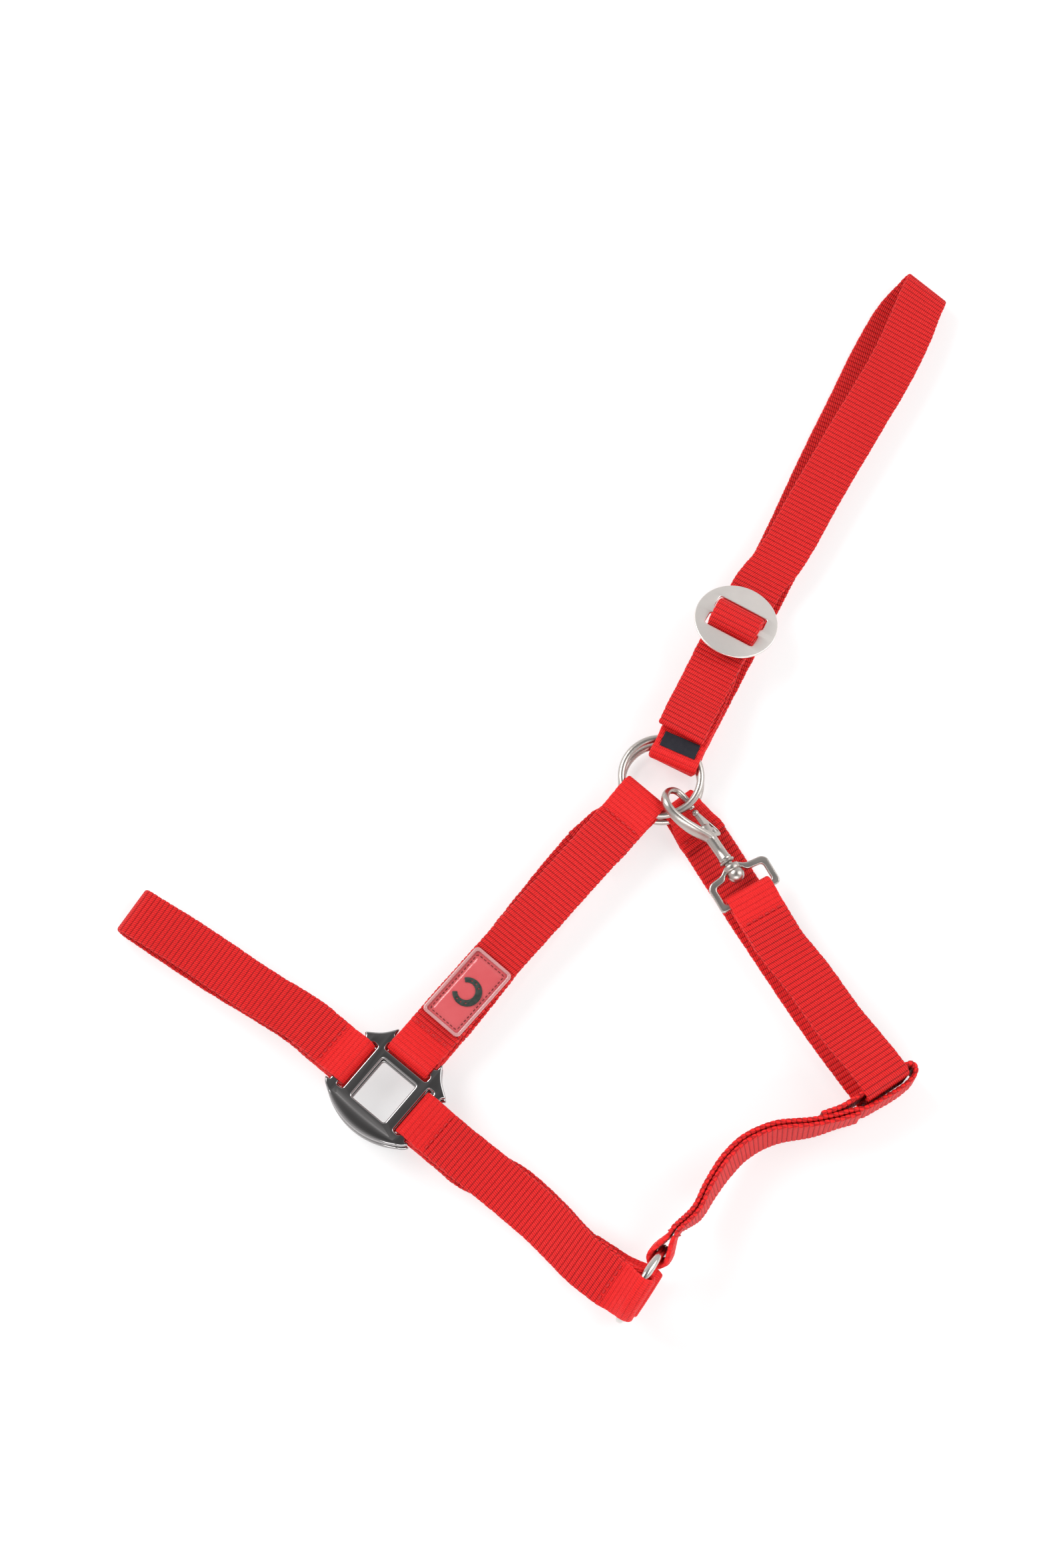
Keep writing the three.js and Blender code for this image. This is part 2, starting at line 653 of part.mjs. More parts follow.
function hookSpine() {
  const line = [
    [-9, -0.4, 1.6, 2.2], [-5.5, 1.9, 2, 2.6], [0, 8, 2, 2.75], [6, 12.7, 1.9, 2.7],
    [12, 15.3, 1.9, 2.6], [17.6, 15.5, 1.9, 2.5], [21.8, 12.4, 1.9, 2.3], [23.8, 7, 1.8, 2.1],
    [22.4, 1.4, 1.8, 2], [17.5, -1.3, 1.8, 1.9], [11.6, -1.5, 1.7, 1.8], [10.6, -1.5, 1.2, 1.2],
  ];
  const rows = line.map(([s, h, thick, wide], i) => {
    const [s0, h0] = line[Math.max(i - 1, 0)];
    const [s1, h1] = line[Math.min(i + 1, line.length - 1)];
    const length = Math.hypot(s1 - s0, h1 - h0);
    const normal = [-(h1 - h0) / length, (s1 - s0) / length];
    return [...Array(10).keys()].map((k) => {
      const c = Math.cos(rad(k * 36)) * thick;
      return v(s + normal[0] * c, h + normal[1] * c, Math.sin(rad(k * 36)) * wide);
    });
  });
  const skin = meshFromRows(rows);
  const last = (skin.count - 1) * skin.size;
  const caps = [];
  for (let k = 1; k + 1 < skin.size; k += 1) {
    caps.push(0, k + 1, k, last, last + k, last + k + 1);
  }
  return closeAndOrient(skin, caps);
}

function snapBody() {
  const ball = [];
  for (let a = -90; a <= 22; a += 16) {
    ball.push([RIVET_RADIUS * Math.cos(rad(a)), RIVET_AT + RIVET_RADIUS * Math.sin(rad(a))]);
  }
  ball[0][0] = 0;
  const profile = [
    ...ball, [2, RIVET_AT + 1.7], [2, COLLAR[0]], [4, COLLAR[0]], [4, COLLAR[1]],
    [SHANK_RADIUS, COLLAR[1] + 0.4], [SHANK_RADIUS, -0.6], [2, 0.8], [0, 0.8],
  ];
  const boss = pinAlongB(GATE_PIVOT[0], GATE_PIVOT[1], 2.6, 3);
  const slot = new THREE.BoxGeometry(11.2, 6.8, 2 * (GATE_HALF + 0.35)).translate(-2.6, -1.2, 0);
  const bore = pinAlongB(GATE_PIVOT[0], GATE_PIVOT[1], 1.05, 8);
  const solid = join(turned(profile, 16), hookSpine(), boss)
    .subtract(toSolid(slot)).subtract(toSolid(bore));
  return inHook(toGeometry(solid));
}

function snapGate() {
  const lever = outline([
    [8.4, -0.7], [1, -0.8], [-3.2, -0.2], [-5.6, 0.2], [-7.1, -1.2], [-7.2, -3],
    [-7.6, -7.6], [-6.6, -8.9], [-4, -8.9], [2.6, -5.4], [8.4, -2.3],
  ].reverse());
  lever.holes.push(hole([[-5.6, -7.6], [-4.2, -7.8], [0.4, -5.4], [0, -4.6], [-1.2, -4.7]]));
  const plate = flatPlate(lever, 2 * GATE_HALF, 0.35);
  const tip = new THREE.SphereGeometry(1.8, 12, 8).translate(8.2, -1.5, 0);
  const bore = pinAlongB(GATE_PIVOT[0], GATE_PIVOT[1], 1.05, 8);
  return inHook(toGeometry(join(plate, tip).subtract(toSolid(bore))));
}

function gatePin() {
  const shaft = pinAlongB(GATE_PIVOT[0], GATE_PIVOT[1], 0.8, 3.6, 12);
  const heads = [1, -1].map((side) =>
    pinAlongB(GATE_PIVOT[0], GATE_PIVOT[1], 1.5, 0.3, 12).translate(0, 0, side * 3.6));
  return inHook(toGeometry(join(shaft, ...heads)));
}

function gateSpring() {
  const leaf = outline([
    [-7.6, 0.9], [-4.4, 1.5], [-0.4, 0.5], [-0.4, 0.9], [-4.4, 1.9], [-7.6, 1.3],
  ]);
  return inHook(toGeometry(toSolid(flatPlate(leaf, 2 * GATE_HALF - 0.4))));
}

function snapEye() {
  const half = EYE_WIDTH / 2;
  const c = EYE_BOSS_AT;
  const frame = outline([
    [-half, -1.5], [half, -1.5], [half, 12.6], [half - 2.4, 14.8], [c + 7, 15.6],
    [c + 3.6, 18.4], [c - 3.6, 18.4], [c - 7, 15.6], [-half + 2.4, 14.8], [-half, 12.6],
  ]);
  frame.holes.push(hole([
    [-13.6, 1.5], [13.6, 1.5], [13.6, 11.2], [c + 6.4, 12.2],
    [c + 4.6, 15], [c - 4.6, 15], [c - 6.4, 12.2], [-13.6, 11.2],
  ]));
  const boss = new THREE.CylinderGeometry(4.4, 4.4, 3.4, 18).translate(c, 16.7, 0);
  const bore = new THREE.CylinderGeometry(2.6, 2.6, 12, 16).translate(c, 16.7, 0);
  const solid = join(flatPlate(frame, 3, 0.7), boss).subtract(toSolid(bore));
  return placed(toGeometry(solid), EYE_BAR,
    heading(EYE_HEADING - 90), heading(EYE_HEADING), UP.clone());
}

// ------------------------------------------------------------ badge and label
function roundedBar(length, width, radius) {
  const shape = new THREE.Shape();
  const x = length / 2 - radius;
  const y = width / 2 - radius;
  shape.absarc(x, y, radius, 0, Math.PI / 2);
  shape.absarc(-x, y, radius, Math.PI / 2, Math.PI);
  shape.absarc(-x, -y, radius, Math.PI, 1.5 * Math.PI);
  shape.absarc(x, -y, radius, 1.5 * Math.PI, 2 * Math.PI);
  return shape;
}

const onBadge = (geometry) => placed(geometry, BADGE_AT, heading(49), heading(139), UP.clone());

function badgeCover() {
  const { length, width, base, rim, rimWidth } = BADGE;
  const options = { bevelEnabled: false, curveSegments: 4, steps: 1 };
  const block = new THREE.ExtrudeGeometry(roundedBar(length, width, 2.5), { ...options, depth: rim });
  const pocket = new THREE.ExtrudeGeometry(
    roundedBar(length - 2 * rimWidth, width - 2 * rimWidth, 1.2), { ...options, depth: rim });
  pocket.translate(0, 0, base);
  return onBadge(toGeometry(toSolid(block).subtract(toSolid(pocket))));
}

function badgeEmblem() {
  // A plain horseshoe, its heels towards the upper edge of the badge.
  const shape = new THREE.Shape();
  shape.absarc(0, 0, 7.4, rad(126), rad(414));
  shape.absarc(0, 0.6, 4.4, rad(410), rad(130), true);
  const options = { depth: 0.5, bevelEnabled: false, curveSegments: 10, steps: 1 };
  const geometry = new THREE.ExtrudeGeometry(shape, options).translate(0, 0, BADGE.base + 0.3);
  return onBadge(toGeometry(toSolid(geometry)));
}

function sizeLabel() {
  const patch = new THREE.BoxGeometry(...LABEL);
  return placed(patch, LABEL_AT, heading(TAB_HEADING - 90), heading(TAB_HEADING), UP.clone());
}

// ------------------------------------------------------------------ stitching
function stitchRow({ p, w, n }) {
  const thread = new THREE.BoxGeometry(20, 0.9, 0.4);
  return placed(thread, p, w.clone(), n.clone().cross(w), n.clone());
}

// ------------------------------------------------------------------- assembly
const halter = new THREE.Group();
halter.name = 'webbing_halter';
const add = (name, geometry, material) => {
  geometry.computeVertexNormals();
  const mesh = new THREE.Mesh(geometry, material);
  mesh.name = name;
  halter.add(mesh);
};

const straps = {
  crown_strap: crownStrap(),
  near_tab: nearTab(),
  noseband: noseband(),
  near_cheek_strap: cheekStrap('near'),
  off_cheek_strap: cheekStrap('off'),
  near_chin_strap: chinStrap('near'),
  off_chin_strap: chinStrap('off'),
  throat_strap: throatStrap(),
  connector_strap: connectorStrap(),
};
for (const [name, { geometry, seams }] of Object.entries(straps)) {
  add(name, geometry, webbingRed());
  for (const [place, { seam }] of Object.entries(seams)) {
    add(`stitching_${name.replace('_strap', '')}_${place}`, stitchRow(seam), threadRed());
  }
}
add('near_ring', wireRing(NEAR_RING, UP, RING_RADIUS, RING_WIRE), satinNickel());
add('off_ring', wireRing(OFF_RING, UP, RING_RADIUS, RING_WIRE), satinNickel());
add('lead_ring', wireRing(LEAD_RING, leadAxis, LEAD_RADIUS, LEAD_WIRE), brightNickel());
add('near_square', halterSquare('near'), darkChrome());
add('off_square', halterSquare('off'), darkChrome());
add('adjuster_disc', adjusterDisc(), satinNickel());
add('snap_body', snapBody(), satinNickel());
add('snap_gate', snapGate(), satinNickel());
add('gate_pin', gatePin(), brightNickel());
add('gate_spring', gateSpring(), springSteel());
add('snap_eye', snapEye(), satinNickel());
add('badge_cover', badgeCover(), clearVinyl());
add('badge_emblem', badgeEmblem(), emblemGreen());
add('size_label', sizeLabel(), labelBlack());

// Origin under the middle of the halter, on the table.
const extent = new THREE.Box3();
halter.children.forEach((mesh) => extent.expandByObject(mesh));
const middle = extent.getCenter(v(0, 0, 0));
for (const mesh of halter.children) mesh.geometry.translate(-middle.x, -middle.y, -extent.min.z);

export default halter;
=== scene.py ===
"""Looks for the flat nylon webbing halter: webbing, thread, nickel and chrome hardware, badge and label."""
import math

import bpy
import bmesh
import numpy as np
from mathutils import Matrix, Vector


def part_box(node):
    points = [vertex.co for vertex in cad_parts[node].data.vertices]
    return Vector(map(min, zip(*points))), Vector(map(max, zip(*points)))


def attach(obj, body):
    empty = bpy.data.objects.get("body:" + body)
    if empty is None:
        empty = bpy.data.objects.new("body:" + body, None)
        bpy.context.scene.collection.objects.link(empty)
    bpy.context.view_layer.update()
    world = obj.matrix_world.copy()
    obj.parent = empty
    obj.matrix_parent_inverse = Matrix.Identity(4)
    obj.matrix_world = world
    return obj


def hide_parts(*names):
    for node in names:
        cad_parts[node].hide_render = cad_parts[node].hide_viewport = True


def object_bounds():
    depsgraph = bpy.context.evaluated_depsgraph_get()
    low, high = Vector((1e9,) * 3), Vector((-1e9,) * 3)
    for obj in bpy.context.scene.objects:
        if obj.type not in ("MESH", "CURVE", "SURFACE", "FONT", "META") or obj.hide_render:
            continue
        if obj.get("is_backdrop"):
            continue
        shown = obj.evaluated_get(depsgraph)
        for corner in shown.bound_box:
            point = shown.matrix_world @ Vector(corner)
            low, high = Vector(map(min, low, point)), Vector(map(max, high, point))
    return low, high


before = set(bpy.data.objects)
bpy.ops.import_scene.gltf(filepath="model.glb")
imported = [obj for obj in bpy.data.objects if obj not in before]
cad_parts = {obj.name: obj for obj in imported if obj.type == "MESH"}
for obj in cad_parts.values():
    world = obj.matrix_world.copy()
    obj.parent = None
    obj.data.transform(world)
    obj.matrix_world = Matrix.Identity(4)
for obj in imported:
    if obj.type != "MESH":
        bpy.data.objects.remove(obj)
CAD_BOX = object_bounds()

MM = 0.001
UP = np.array([0.0, 0.0, 1.0])

# ------------------------------------------------ the halter's own dimensions, in millimetres
WEB_HALF = 12.5            # half the width of the webbing
LAYER_HALF = 1.4           # half the distance between two sewn layers
LAP = 20
TABLE_LAYER = 1.35
RING_RADIUS, RING_WIRE = 19.9, 1.9
NEAR_RING = np.array([65.0, 5.5, 17.0])
OFF_RING = np.array([65.4, 5.2, 5.1])
LEAD_RADIUS, LEAD_WIRE = 20.0, 2.1
LEAD_RING = np.array([53.1, -250.4, 25.8])
LEAD_HEADING = 57
NEAR_CHIN_ON_RING, CONNECTOR_ON_RING, OFF_CHIN_ON_RING = 122, 11, -94
NEAR_CHEEK_ON_RING, OFF_CHEEK_ON_RING, THROAT_ON_RING, CROWN_ON_RING = 229, 222, -53, 63
RING_LOOP, LEAD_LOOP = RING_WIRE + 1.85, LEAD_WIRE + 2.3
RING_SLACK, LEAD_SAG = 4.1, 4.3
PINCH = 0.8
SQUARE_XY = (-73.0, -154.1)
SQUARE_HEADING = 50
SQUARE_Z = {"near": 15.7, "off": 5.2}
SQUARE_THICK = 3.2
WINDOW = (24.7, 21.7)
SLOT = (16.4, 20.0)
SLOT_HALF = 13.2
SIDE_SLOT = (-12.2, 15.0)
SQUARE_BAR, SQUARE_LOOP = 22.2, 3.85
CRESCENT_CENTRE, CRESCENT_RADIUS, CRESCENT_THICK = 14.8, 38.8, 4.6
DISC = np.array([103.6, 85.8, 21.0])
DISC_RADIUS, DISC_THICK, DISC_HEADING, DISC_TILT = 21.5, 1.3, 61, 17
DISC_SLOT, DISC_SLOT_HALF = (2.0, 9.4), 13.6
BAR_LOOP = 3.6
CROWN_LOOP = BAR_LOOP + 2.7
TAB_HEADING = 65.9
BIGHT = np.array([172.5, -150.0, 0.0])
THROAT_HEADING = -56.6
SNAP_ROOT = np.array([85.8, -19.7, 13.5])
SHANK_HEADING, SHANK_RADIUS = 123.4, 3.1
EYE_HEADING, EYE_WIDTH, EYE_LOOP = 120, 34, 3.3
EYE_BAR = np.array([109.2, -54.9, 13.5])
GATE_PIVOT, GATE_HALF = (-5, -2), 1.2
RIVET_AT, RIVET_RADIUS = -29.4, 4.3
COLLAR = (-22.2, -20.8)
EYE_BOSS_AT = -1.1
BADGE_SIZE, BADGE_BASE, BADGE_RIM, BADGE_RIM_WIDTH = (42, 23.4), 1.1, 2.4, 1.7
BADGE_AT, BADGE_HEADING = np.array([-32.0, -105.6, 19.2]), 49
LABEL_SIZE, LABEL_AT = (19, 8, 0.5), np.array([74.4, 20.3, 22.5])

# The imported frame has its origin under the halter's middle: the near ring says how far that is.
_low, _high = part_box("near_ring")
SHIFT = np.array((_low + _high) / 2) / MM - NEAR_RING


# ------------------------------------------------ small helpers
def heading(degrees):
    angle = math.radians(degrees)
    return np.array([math.cos(angle), math.sin(angle), 0.0])


def unit(vector):
    return np.asarray(vector, float) / np.linalg.norm(vector)


def across(turn, tip=0.0):
    return heading(turn) * math.cos(math.radians(tip)) + UP * math.sin(math.radians(tip))


def xyz(x, y, z):
    return np.array([x, y, z], float)


def placed(name, data):
    """An object for the data, linked into the scene."""
    obj = bpy.data.objects.new(name, data)
    bpy.context.scene.collection.objects.link(obj)
    return obj


def evaluated_mesh(obj):
    return bpy.data.meshes.new_from_object(obj.evaluated_get(bpy.context.evaluated_depsgraph_get()))


def make_object(name, verts, faces, smooth=True):
    """A mesh object from points in millimetres, in the frame's place."""
    mesh = bpy.data.meshes.new(name)
    mesh.from_pydata(((np.asarray(verts) + SHIFT) * MM).tolist(), [], faces)
    mesh.update()
    if smooth:
        mesh.polygons.foreach_set("use_smooth", [True] * len(mesh.polygons))
    return placed(name, mesh)


def basis(origin, x, y, z):
    """The placing of a local drawing: its x, y and z directions and its origin."""
    def place(points):
        p = np.asarray(points, float)
        return origin + np.outer(p[:, 0], x) + np.outer(p[:, 1], y) + np.outer(p[:, 2], z)
    return place


def give(obj, name, values):
    """A vector for each point of the mesh, for its material."""
    layer = obj.data.attributes.new(name, "FLOAT_VECTOR", "POINT")
    layer.data.foreach_set("vector", np.array(values, np.float32).ravel())


def reworked(obj, change):
    """The object, its mesh changed by a function of its bmesh."""
    bm = bmesh.new()
    bm.from_mesh(obj.data)
    change(bm)
    bm.to_mesh(obj.data)
    bm.free()
    return obj


def turn_outwards(bm):
    bmesh.ops.recalc_face_normals(bm, faces=bm.faces)


def weld(bm):
    bmesh.ops.remove_doubles(bm, verts=bm.verts, dist=1e-7)
    turn_outwards(bm)


def closed(obj):
    """The same mesh with all its faces turned outwards."""
    return reworked(obj, turn_outwards)


def tidy(obj):
    """The same mesh with doubled points joined and all its faces turned outwards."""
    return reworked(obj, weld)


def finish_piece(obj, material, slot, body, *nodes):
    obj.data.materials.clear()
    obj.data.materials.append(material)
    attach(obj, body)
    if nodes:
        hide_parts(*nodes)
    return obj


def sharp_by_angle(obj, degrees=32):
    """Smooth faces with creases kept where two faces meet at more than the angle."""
    limit = math.radians(degrees)

    def shade(bm):
        for edge in bm.edges:
            edge.smooth = len(edge.link_faces) == 2 and edge.calc_face_angle(0) < limit
        for face in bm.faces:
            face.smooth = True
    return reworked(obj, shade)


# ------------------------------------------------ camera, floor and light
def make_camera():
    tilt = math.radians(15)
    distance = 1.877
    aim = (xyz(-4.7, 6.2, 0) + SHIFT) * MM
    data = bpy.data.cameras.new("camera")
    data.sensor_fit = "VERTICAL"
    data.sensor_height = 36
    data.sensor_width = 24
    data.lens = 85
    camera = placed("camera", data)
    camera.location = Vector(aim) + Vector((0, -math.sin(tilt), math.cos(tilt))) * distance
    camera.rotation_euler = (tilt, 0, 0)
    bpy.context.scene.camera = camera


def make_floor():
    size = 6.0
    z = -0.0006
    mesh = bpy.data.meshes.new("floor")
    square = [(x, y, z) for x, y in rect(-size, size, -size, size)]
    mesh.from_pydata(square, [], [(0, 1, 2, 3)])
    g = Graph("floor")
    g.set(Base_Color=(0.45, 0.45, 0.45, 1), Roughness=0.95, Specular_IOR_Level=0.1,
          Emission_Color=(1, 1, 1, 1), Emission_Strength=0.6)
    mesh.materials.append(g.material)
    floor = placed("floor", mesh)
    floor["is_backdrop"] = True


def area_light(name, place, size, power):
    """A lamp that faces the middle of the halter."""
    data = bpy.data.lights.new(name, "AREA")
    data.shape = "RECTANGLE"
    data.size, data.size_y = size
    data.energy = power
    light = placed(name, data)
    light.location = place
    light.rotation_euler = (-Vector(place)).to_track_quat("-Z", "Y").to_euler()


def make_light():
    area_light("key", (-1.5, 0.9, 1.7), (1.4, 1.4), 37)
    area_light("fill", (1.7, 0.4, 1.4), (1.2, 1.6), 18)
    area_light("front", (0.2, -1.9, 1.3), (1.8, 0.8), 15)
    world = bpy.data.worlds.new("studio")
    bpy.context.scene.world = world
    world.use_nodes = True
    nodes, links = world.node_tree.nodes, world.node_tree.links
    nodes.clear()
    out, sky, ramp, split, where = (nodes.new("ShaderNode" + kind) for kind in (
        "OutputWorld", "Background", "ValToRGB", "SeparateXYZ", "TexCoord"))
    links.new(where.outputs["Generated"], split.inputs[0])
    links.new(split.outputs["Z"], ramp.inputs["Fac"])
    links.new(ramp.outputs["Color"], sky.inputs["Color"])
    links.new(sky.outputs[0], out.inputs["Surface"])
    stops = [(0.0, 0.85), (0.3, 1.0), (0.62, 0.85), (0.86, 0.45), (1.0, 0.16)]
    ramp.color_ramp.elements.remove(ramp.color_ramp.elements[1])
    for k, (at, grey) in enumerate(stops):
        stop = ramp.color_ramp.elements[0] if k == 0 else ramp.color_ramp.elements.new(at)
        stop.position = at
        stop.color = (grey, grey, grey, 1)
    sky.inputs["Strength"].default_value = 0.78
    bpy.context.scene.view_settings.view_transform = "Standard"


# ------------------------------------------------ materials
class Graph:
    """A short way to write a material's nodes."""

    def __init__(self, name):
        self.material = bpy.data.materials.new(name)
        self.material.use_nodes = True
        self.tree = self.material.node_tree
        self.shader = self.tree.nodes["Principled BSDF"]

    def link(self, value, socket):
        if isinstance(value, bpy.types.NodeSocket):
            self.tree.links.new(value, socket)
        else:
            socket.default_value = value

    def set(self, **values):
        for key, value in values.items():
            self.shader.inputs[key.replace("_", " ")].default_value = value

    def math(self, kind, a, b=0.0, clamp=False):
        node = self.tree.nodes.new("ShaderNodeMath")
        node.operation = kind
        node.use_clamp = clamp
        self.link(a, node.inputs[0])
        self.link(b, node.inputs[1])
        return node.outputs[0]

    def mix(self, factor, a, b):
        node = self.tree.nodes.new("ShaderNodeMix")
        node.data_type = "RGBA"
        self.link(factor, node.inputs["Factor"])
        self.link(a, node.inputs["A"])
        self.link(b, node.inputs["B"])
        return node.outputs["Result"]

    def noise(self, scale, detail=3.0, vector=None, stretch=None):
        node = self.tree.nodes.new("ShaderNodeTexNoise")
        node.inputs["Scale"].default_value = scale
        node.inputs["Detail"].default_value = detail
        source = vector
        if source is None:
            source = self.tree.nodes.new("ShaderNodeTexCoord").outputs["Object"]
        if stretch is not None:
            mapping = self.tree.nodes.new("ShaderNodeMapping")
            mapping.inputs["Scale"].default_value = stretch
            self.tree.links.new(source, mapping.inputs["Vector"])
            source = mapping.outputs[0]
        self.tree.links.new(source, node.inputs["Vector"])
        return node.outputs["Fac"]

    def range(self, value, low, high, out_low, out_high):
        node = self.tree.nodes.new("ShaderNodeMapRange")
        self.link(value, node.inputs["Value"])
        keys = ("From Min", "From Max", "To Min", "To Max")
        for key, number in zip(keys, (low, high, out_low, out_high)):
            node.inputs[key].default_value = number
        return node.outputs[0]

    def bump(self, height, distance, strength=1.0, normal=None):
        node = self.tree.nodes.new("ShaderNodeBump")
        node.inputs["Distance"].default_value = distance
        node.inputs["Strength"].default_value = strength
        self.link(height, node.inputs["Height"])
        if normal is not None:
            self.tree.links.new(normal, node.inputs["Normal"])
        return node.outputs[0]

    def attribute(self, name):
        node = self.tree.nodes.new("ShaderNodeAttribute")
        node.attribute_name = name
        split = self.tree.nodes.new("ShaderNodeSeparateXYZ")
        self.tree.links.new(node.outputs["Vector"], split.inputs[0])
        return node.outputs["Vector"], split.outputs

    def wire(self, key, value):
        self.link(value, self.shader.inputs[key])


def webbing_material():
    """Ribbed red nylon with painted shade in the grooves between ribs and in the gaps between yarns. Its
    weave attribute: millimetres across, ribs along, how calm the ribs are.
    """
    g = Graph("webbing_red")
    where, (side, rib, calm) = g.attribute("weave")
    phase = g.math("FRACT", rib)
    brick = g.math("MULTIPLY", g.math("MODULO", g.math("FLOOR", rib), 2.0), 0.5)
    lively = g.math("SUBTRACT", 1.0, g.math("MULTIPLY", calm, 0.6))
    slant = g.math("ADD", brick, g.math("MULTIPLY", phase, 0.45))
    yarn = g.math("ADD", g.math("MULTIPLY", side, 0.98), slant)
    wave = g.math("SINE", g.math("MULTIPLY", yarn, 2 * math.pi))
    wave = g.math("ADD", g.math("MULTIPLY", wave, 0.5), 0.5)
    fibre = g.noise(0.9, 4.0, where, (5.0, 1.4, 1.0))
    height = g.math("ADD", g.math("MULTIPLY", wave, 0.7), g.math("MULTIPLY", fibre, 0.55))
    g.wire("Normal", g.bump(height, 0.00042, 0.9))
    # Painted shade: the base colour is darkened in the grooves between the ribs, less where the ribs are
    # calm; it is laid on last, below.
    groove_shade = g.math("MULTIPLY", g.math("ABSOLUTE", g.math("SUBTRACT", phase, 0.5)), 2.0)
    groove_shade = g.math("MULTIPLY", g.range(groove_shade, 0.72, 1.0, 0.0, 1.0), lively)
    blotch = g.noise(14.0, 2.0)
    shade = g.mix(g.range(blotch, 0.3, 0.7, 0.0, 1.0), (0.86, 0.009, 0.009, 1), (0.96, 0.013, 0.013, 1))
    # Painted shade: the base colour is darkened where the yarn wave is low, in the gaps between the yarns,
    # beside the bump that dents them.
    mark = g.math("MULTIPLY", g.range(wave, 0.0, 0.7, 1.0, 0.0), g.math("MULTIPLY", lively, 0.85))
    shade = g.mix(mark, shade, (0.36, 0.002, 0.003, 1))
    # Painted shade laid into the grooves between the ribs.
    shade = g.mix(g.math("MULTIPLY", groove_shade, 0.85), shade, (0.22, 0.001, 0.002, 1))
    g.wire("Base Color", shade)
    g.wire("Roughness", g.range(fibre, 0.3, 0.7, 0.46, 0.66))
    g.set(Sheen_Weight=0.06, Sheen_Roughness=0.45, Sheen_Tint=(1.0, 0.3, 0.28, 1), Specular_IOR_Level=0.3)
    return g.material


def thread_material(name, low, high):
    g = Graph(name)
    _, (along, turn, _) = g.attribute("twist")
    ply = g.math("SINE", g.math("ADD", g.math("MULTIPLY", along, 7.5), g.math("MULTIPLY", turn, 2 * math.pi)))
    g.wire("Normal", g.bump(ply, 0.00009, 0.8))
    g.wire("Base Color", g.mix(g.range(ply, -1, 1, 0, 1), low, high))
    g.wire("Roughness", g.range(g.noise(900.0), 0.3, 0.7, 0.4, 0.55))
    g.set(Specular_IOR_Level=0.5)
    return g.material


def metal(name, colour, rough, grain, smear=0.06, scratch=0.00002):
    """Plated metal: colour, the least roughness, the strength of its fine grain and of its smears."""
    g = Graph(name)
    fine = g.noise(1800.0, 2.0)
    cloud = g.noise(60.0, 4.0)
    long = g.noise(260.0, 3.0, None, (1.0, 9.0, 1.0))
    mark = g.math("ADD", g.math("MULTIPLY", fine, grain), g.math("MULTIPLY", long, 1.0 - grain))
    g.wire("Roughness", g.range(cloud, 0.35, 0.7, rough, rough + smear))
    dark = tuple(c * 0.86 for c in colour) + (1,)
    g.wire("Base Color", g.mix(g.range(cloud, 0.3, 0.75, 0, 1), colour + (1,), dark))
    g.wire("Normal", g.bump(mark, scratch, 0.5))
    g.set(Metallic=1.0)
    return g.material


def vinyl(name, colours, scales, gloss, quilt, coat):
    """Welded vinyl: scales of its colour, gloss and quilting, then how far each of them goes."""
    g = Graph(name)
    g.wire("Base Color", g.mix(g.noise(scales[0], 3.0), *colours))
    g.wire("Roughness", g.range(g.noise(scales[1], 3.0), 0.3, 0.7, *gloss))
    g.wire("Normal", g.bump(g.noise(scales[2], 2.0), *quilt))
    g.set(Coat_Weight=coat[0], Coat_Roughness=coat[1], IOR=1.53)
    return g.material


def emblem_material():
    g = Graph("emblem_green")
    ink = g.noise(700.0, 3.0)
    g.wire("Base Color", g.mix(ink, (0.014, 0.022, 0.018, 1), (0.035, 0.05, 0.04, 1)))
    g.wire("Roughness", g.range(ink, 0.3, 0.7, 0.35, 0.55))
    g.wire("Normal", g.bump(ink, 0.00005, 0.6))
    return g.material


def label_material():
    g = Graph("label_black")
    _, (x, y, _) = g.attribute("weave")
    warp = g.math("SINE", g.math("MULTIPLY", x, 2 * math.pi * 2.6))
    weft = g.math("SINE", g.math("MULTIPLY", y, 2 * math.pi * 3.4))
    cloth = g.math("MULTIPLY", warp, weft)
    g.wire("Normal", g.bump(cloth, 0.00006, 0.8))
    g.wire("Base Color", g.mix(g.range(cloth, -1, 1, 0, 1), (0.008, 0.008, 0.012, 1), (0.03, 0.03, 0.042, 1)))
    g.wire("Roughness", g.range(g.noise(500.0), 0.3, 0.7, 0.6, 0.8))
    g.set(Sheen_Weight=0.05, Sheen_Roughness=0.5, Specular_IOR_Level=0.25)
    return g.material


# ------------------------------------------------ webbing
# A station is one row of numbers: middle of the strap (3), direction across it (3), pull on its
# selvedges (3), share of full width, calm (1 where the ribs are stretched flat), seam (1 on a seam).
def station(p, w, sag=(0, 0, 0), width=1.0, calm=0.0, seam=0.0):
    return np.concatenate([p, w, sag, [width, calm, seam]])


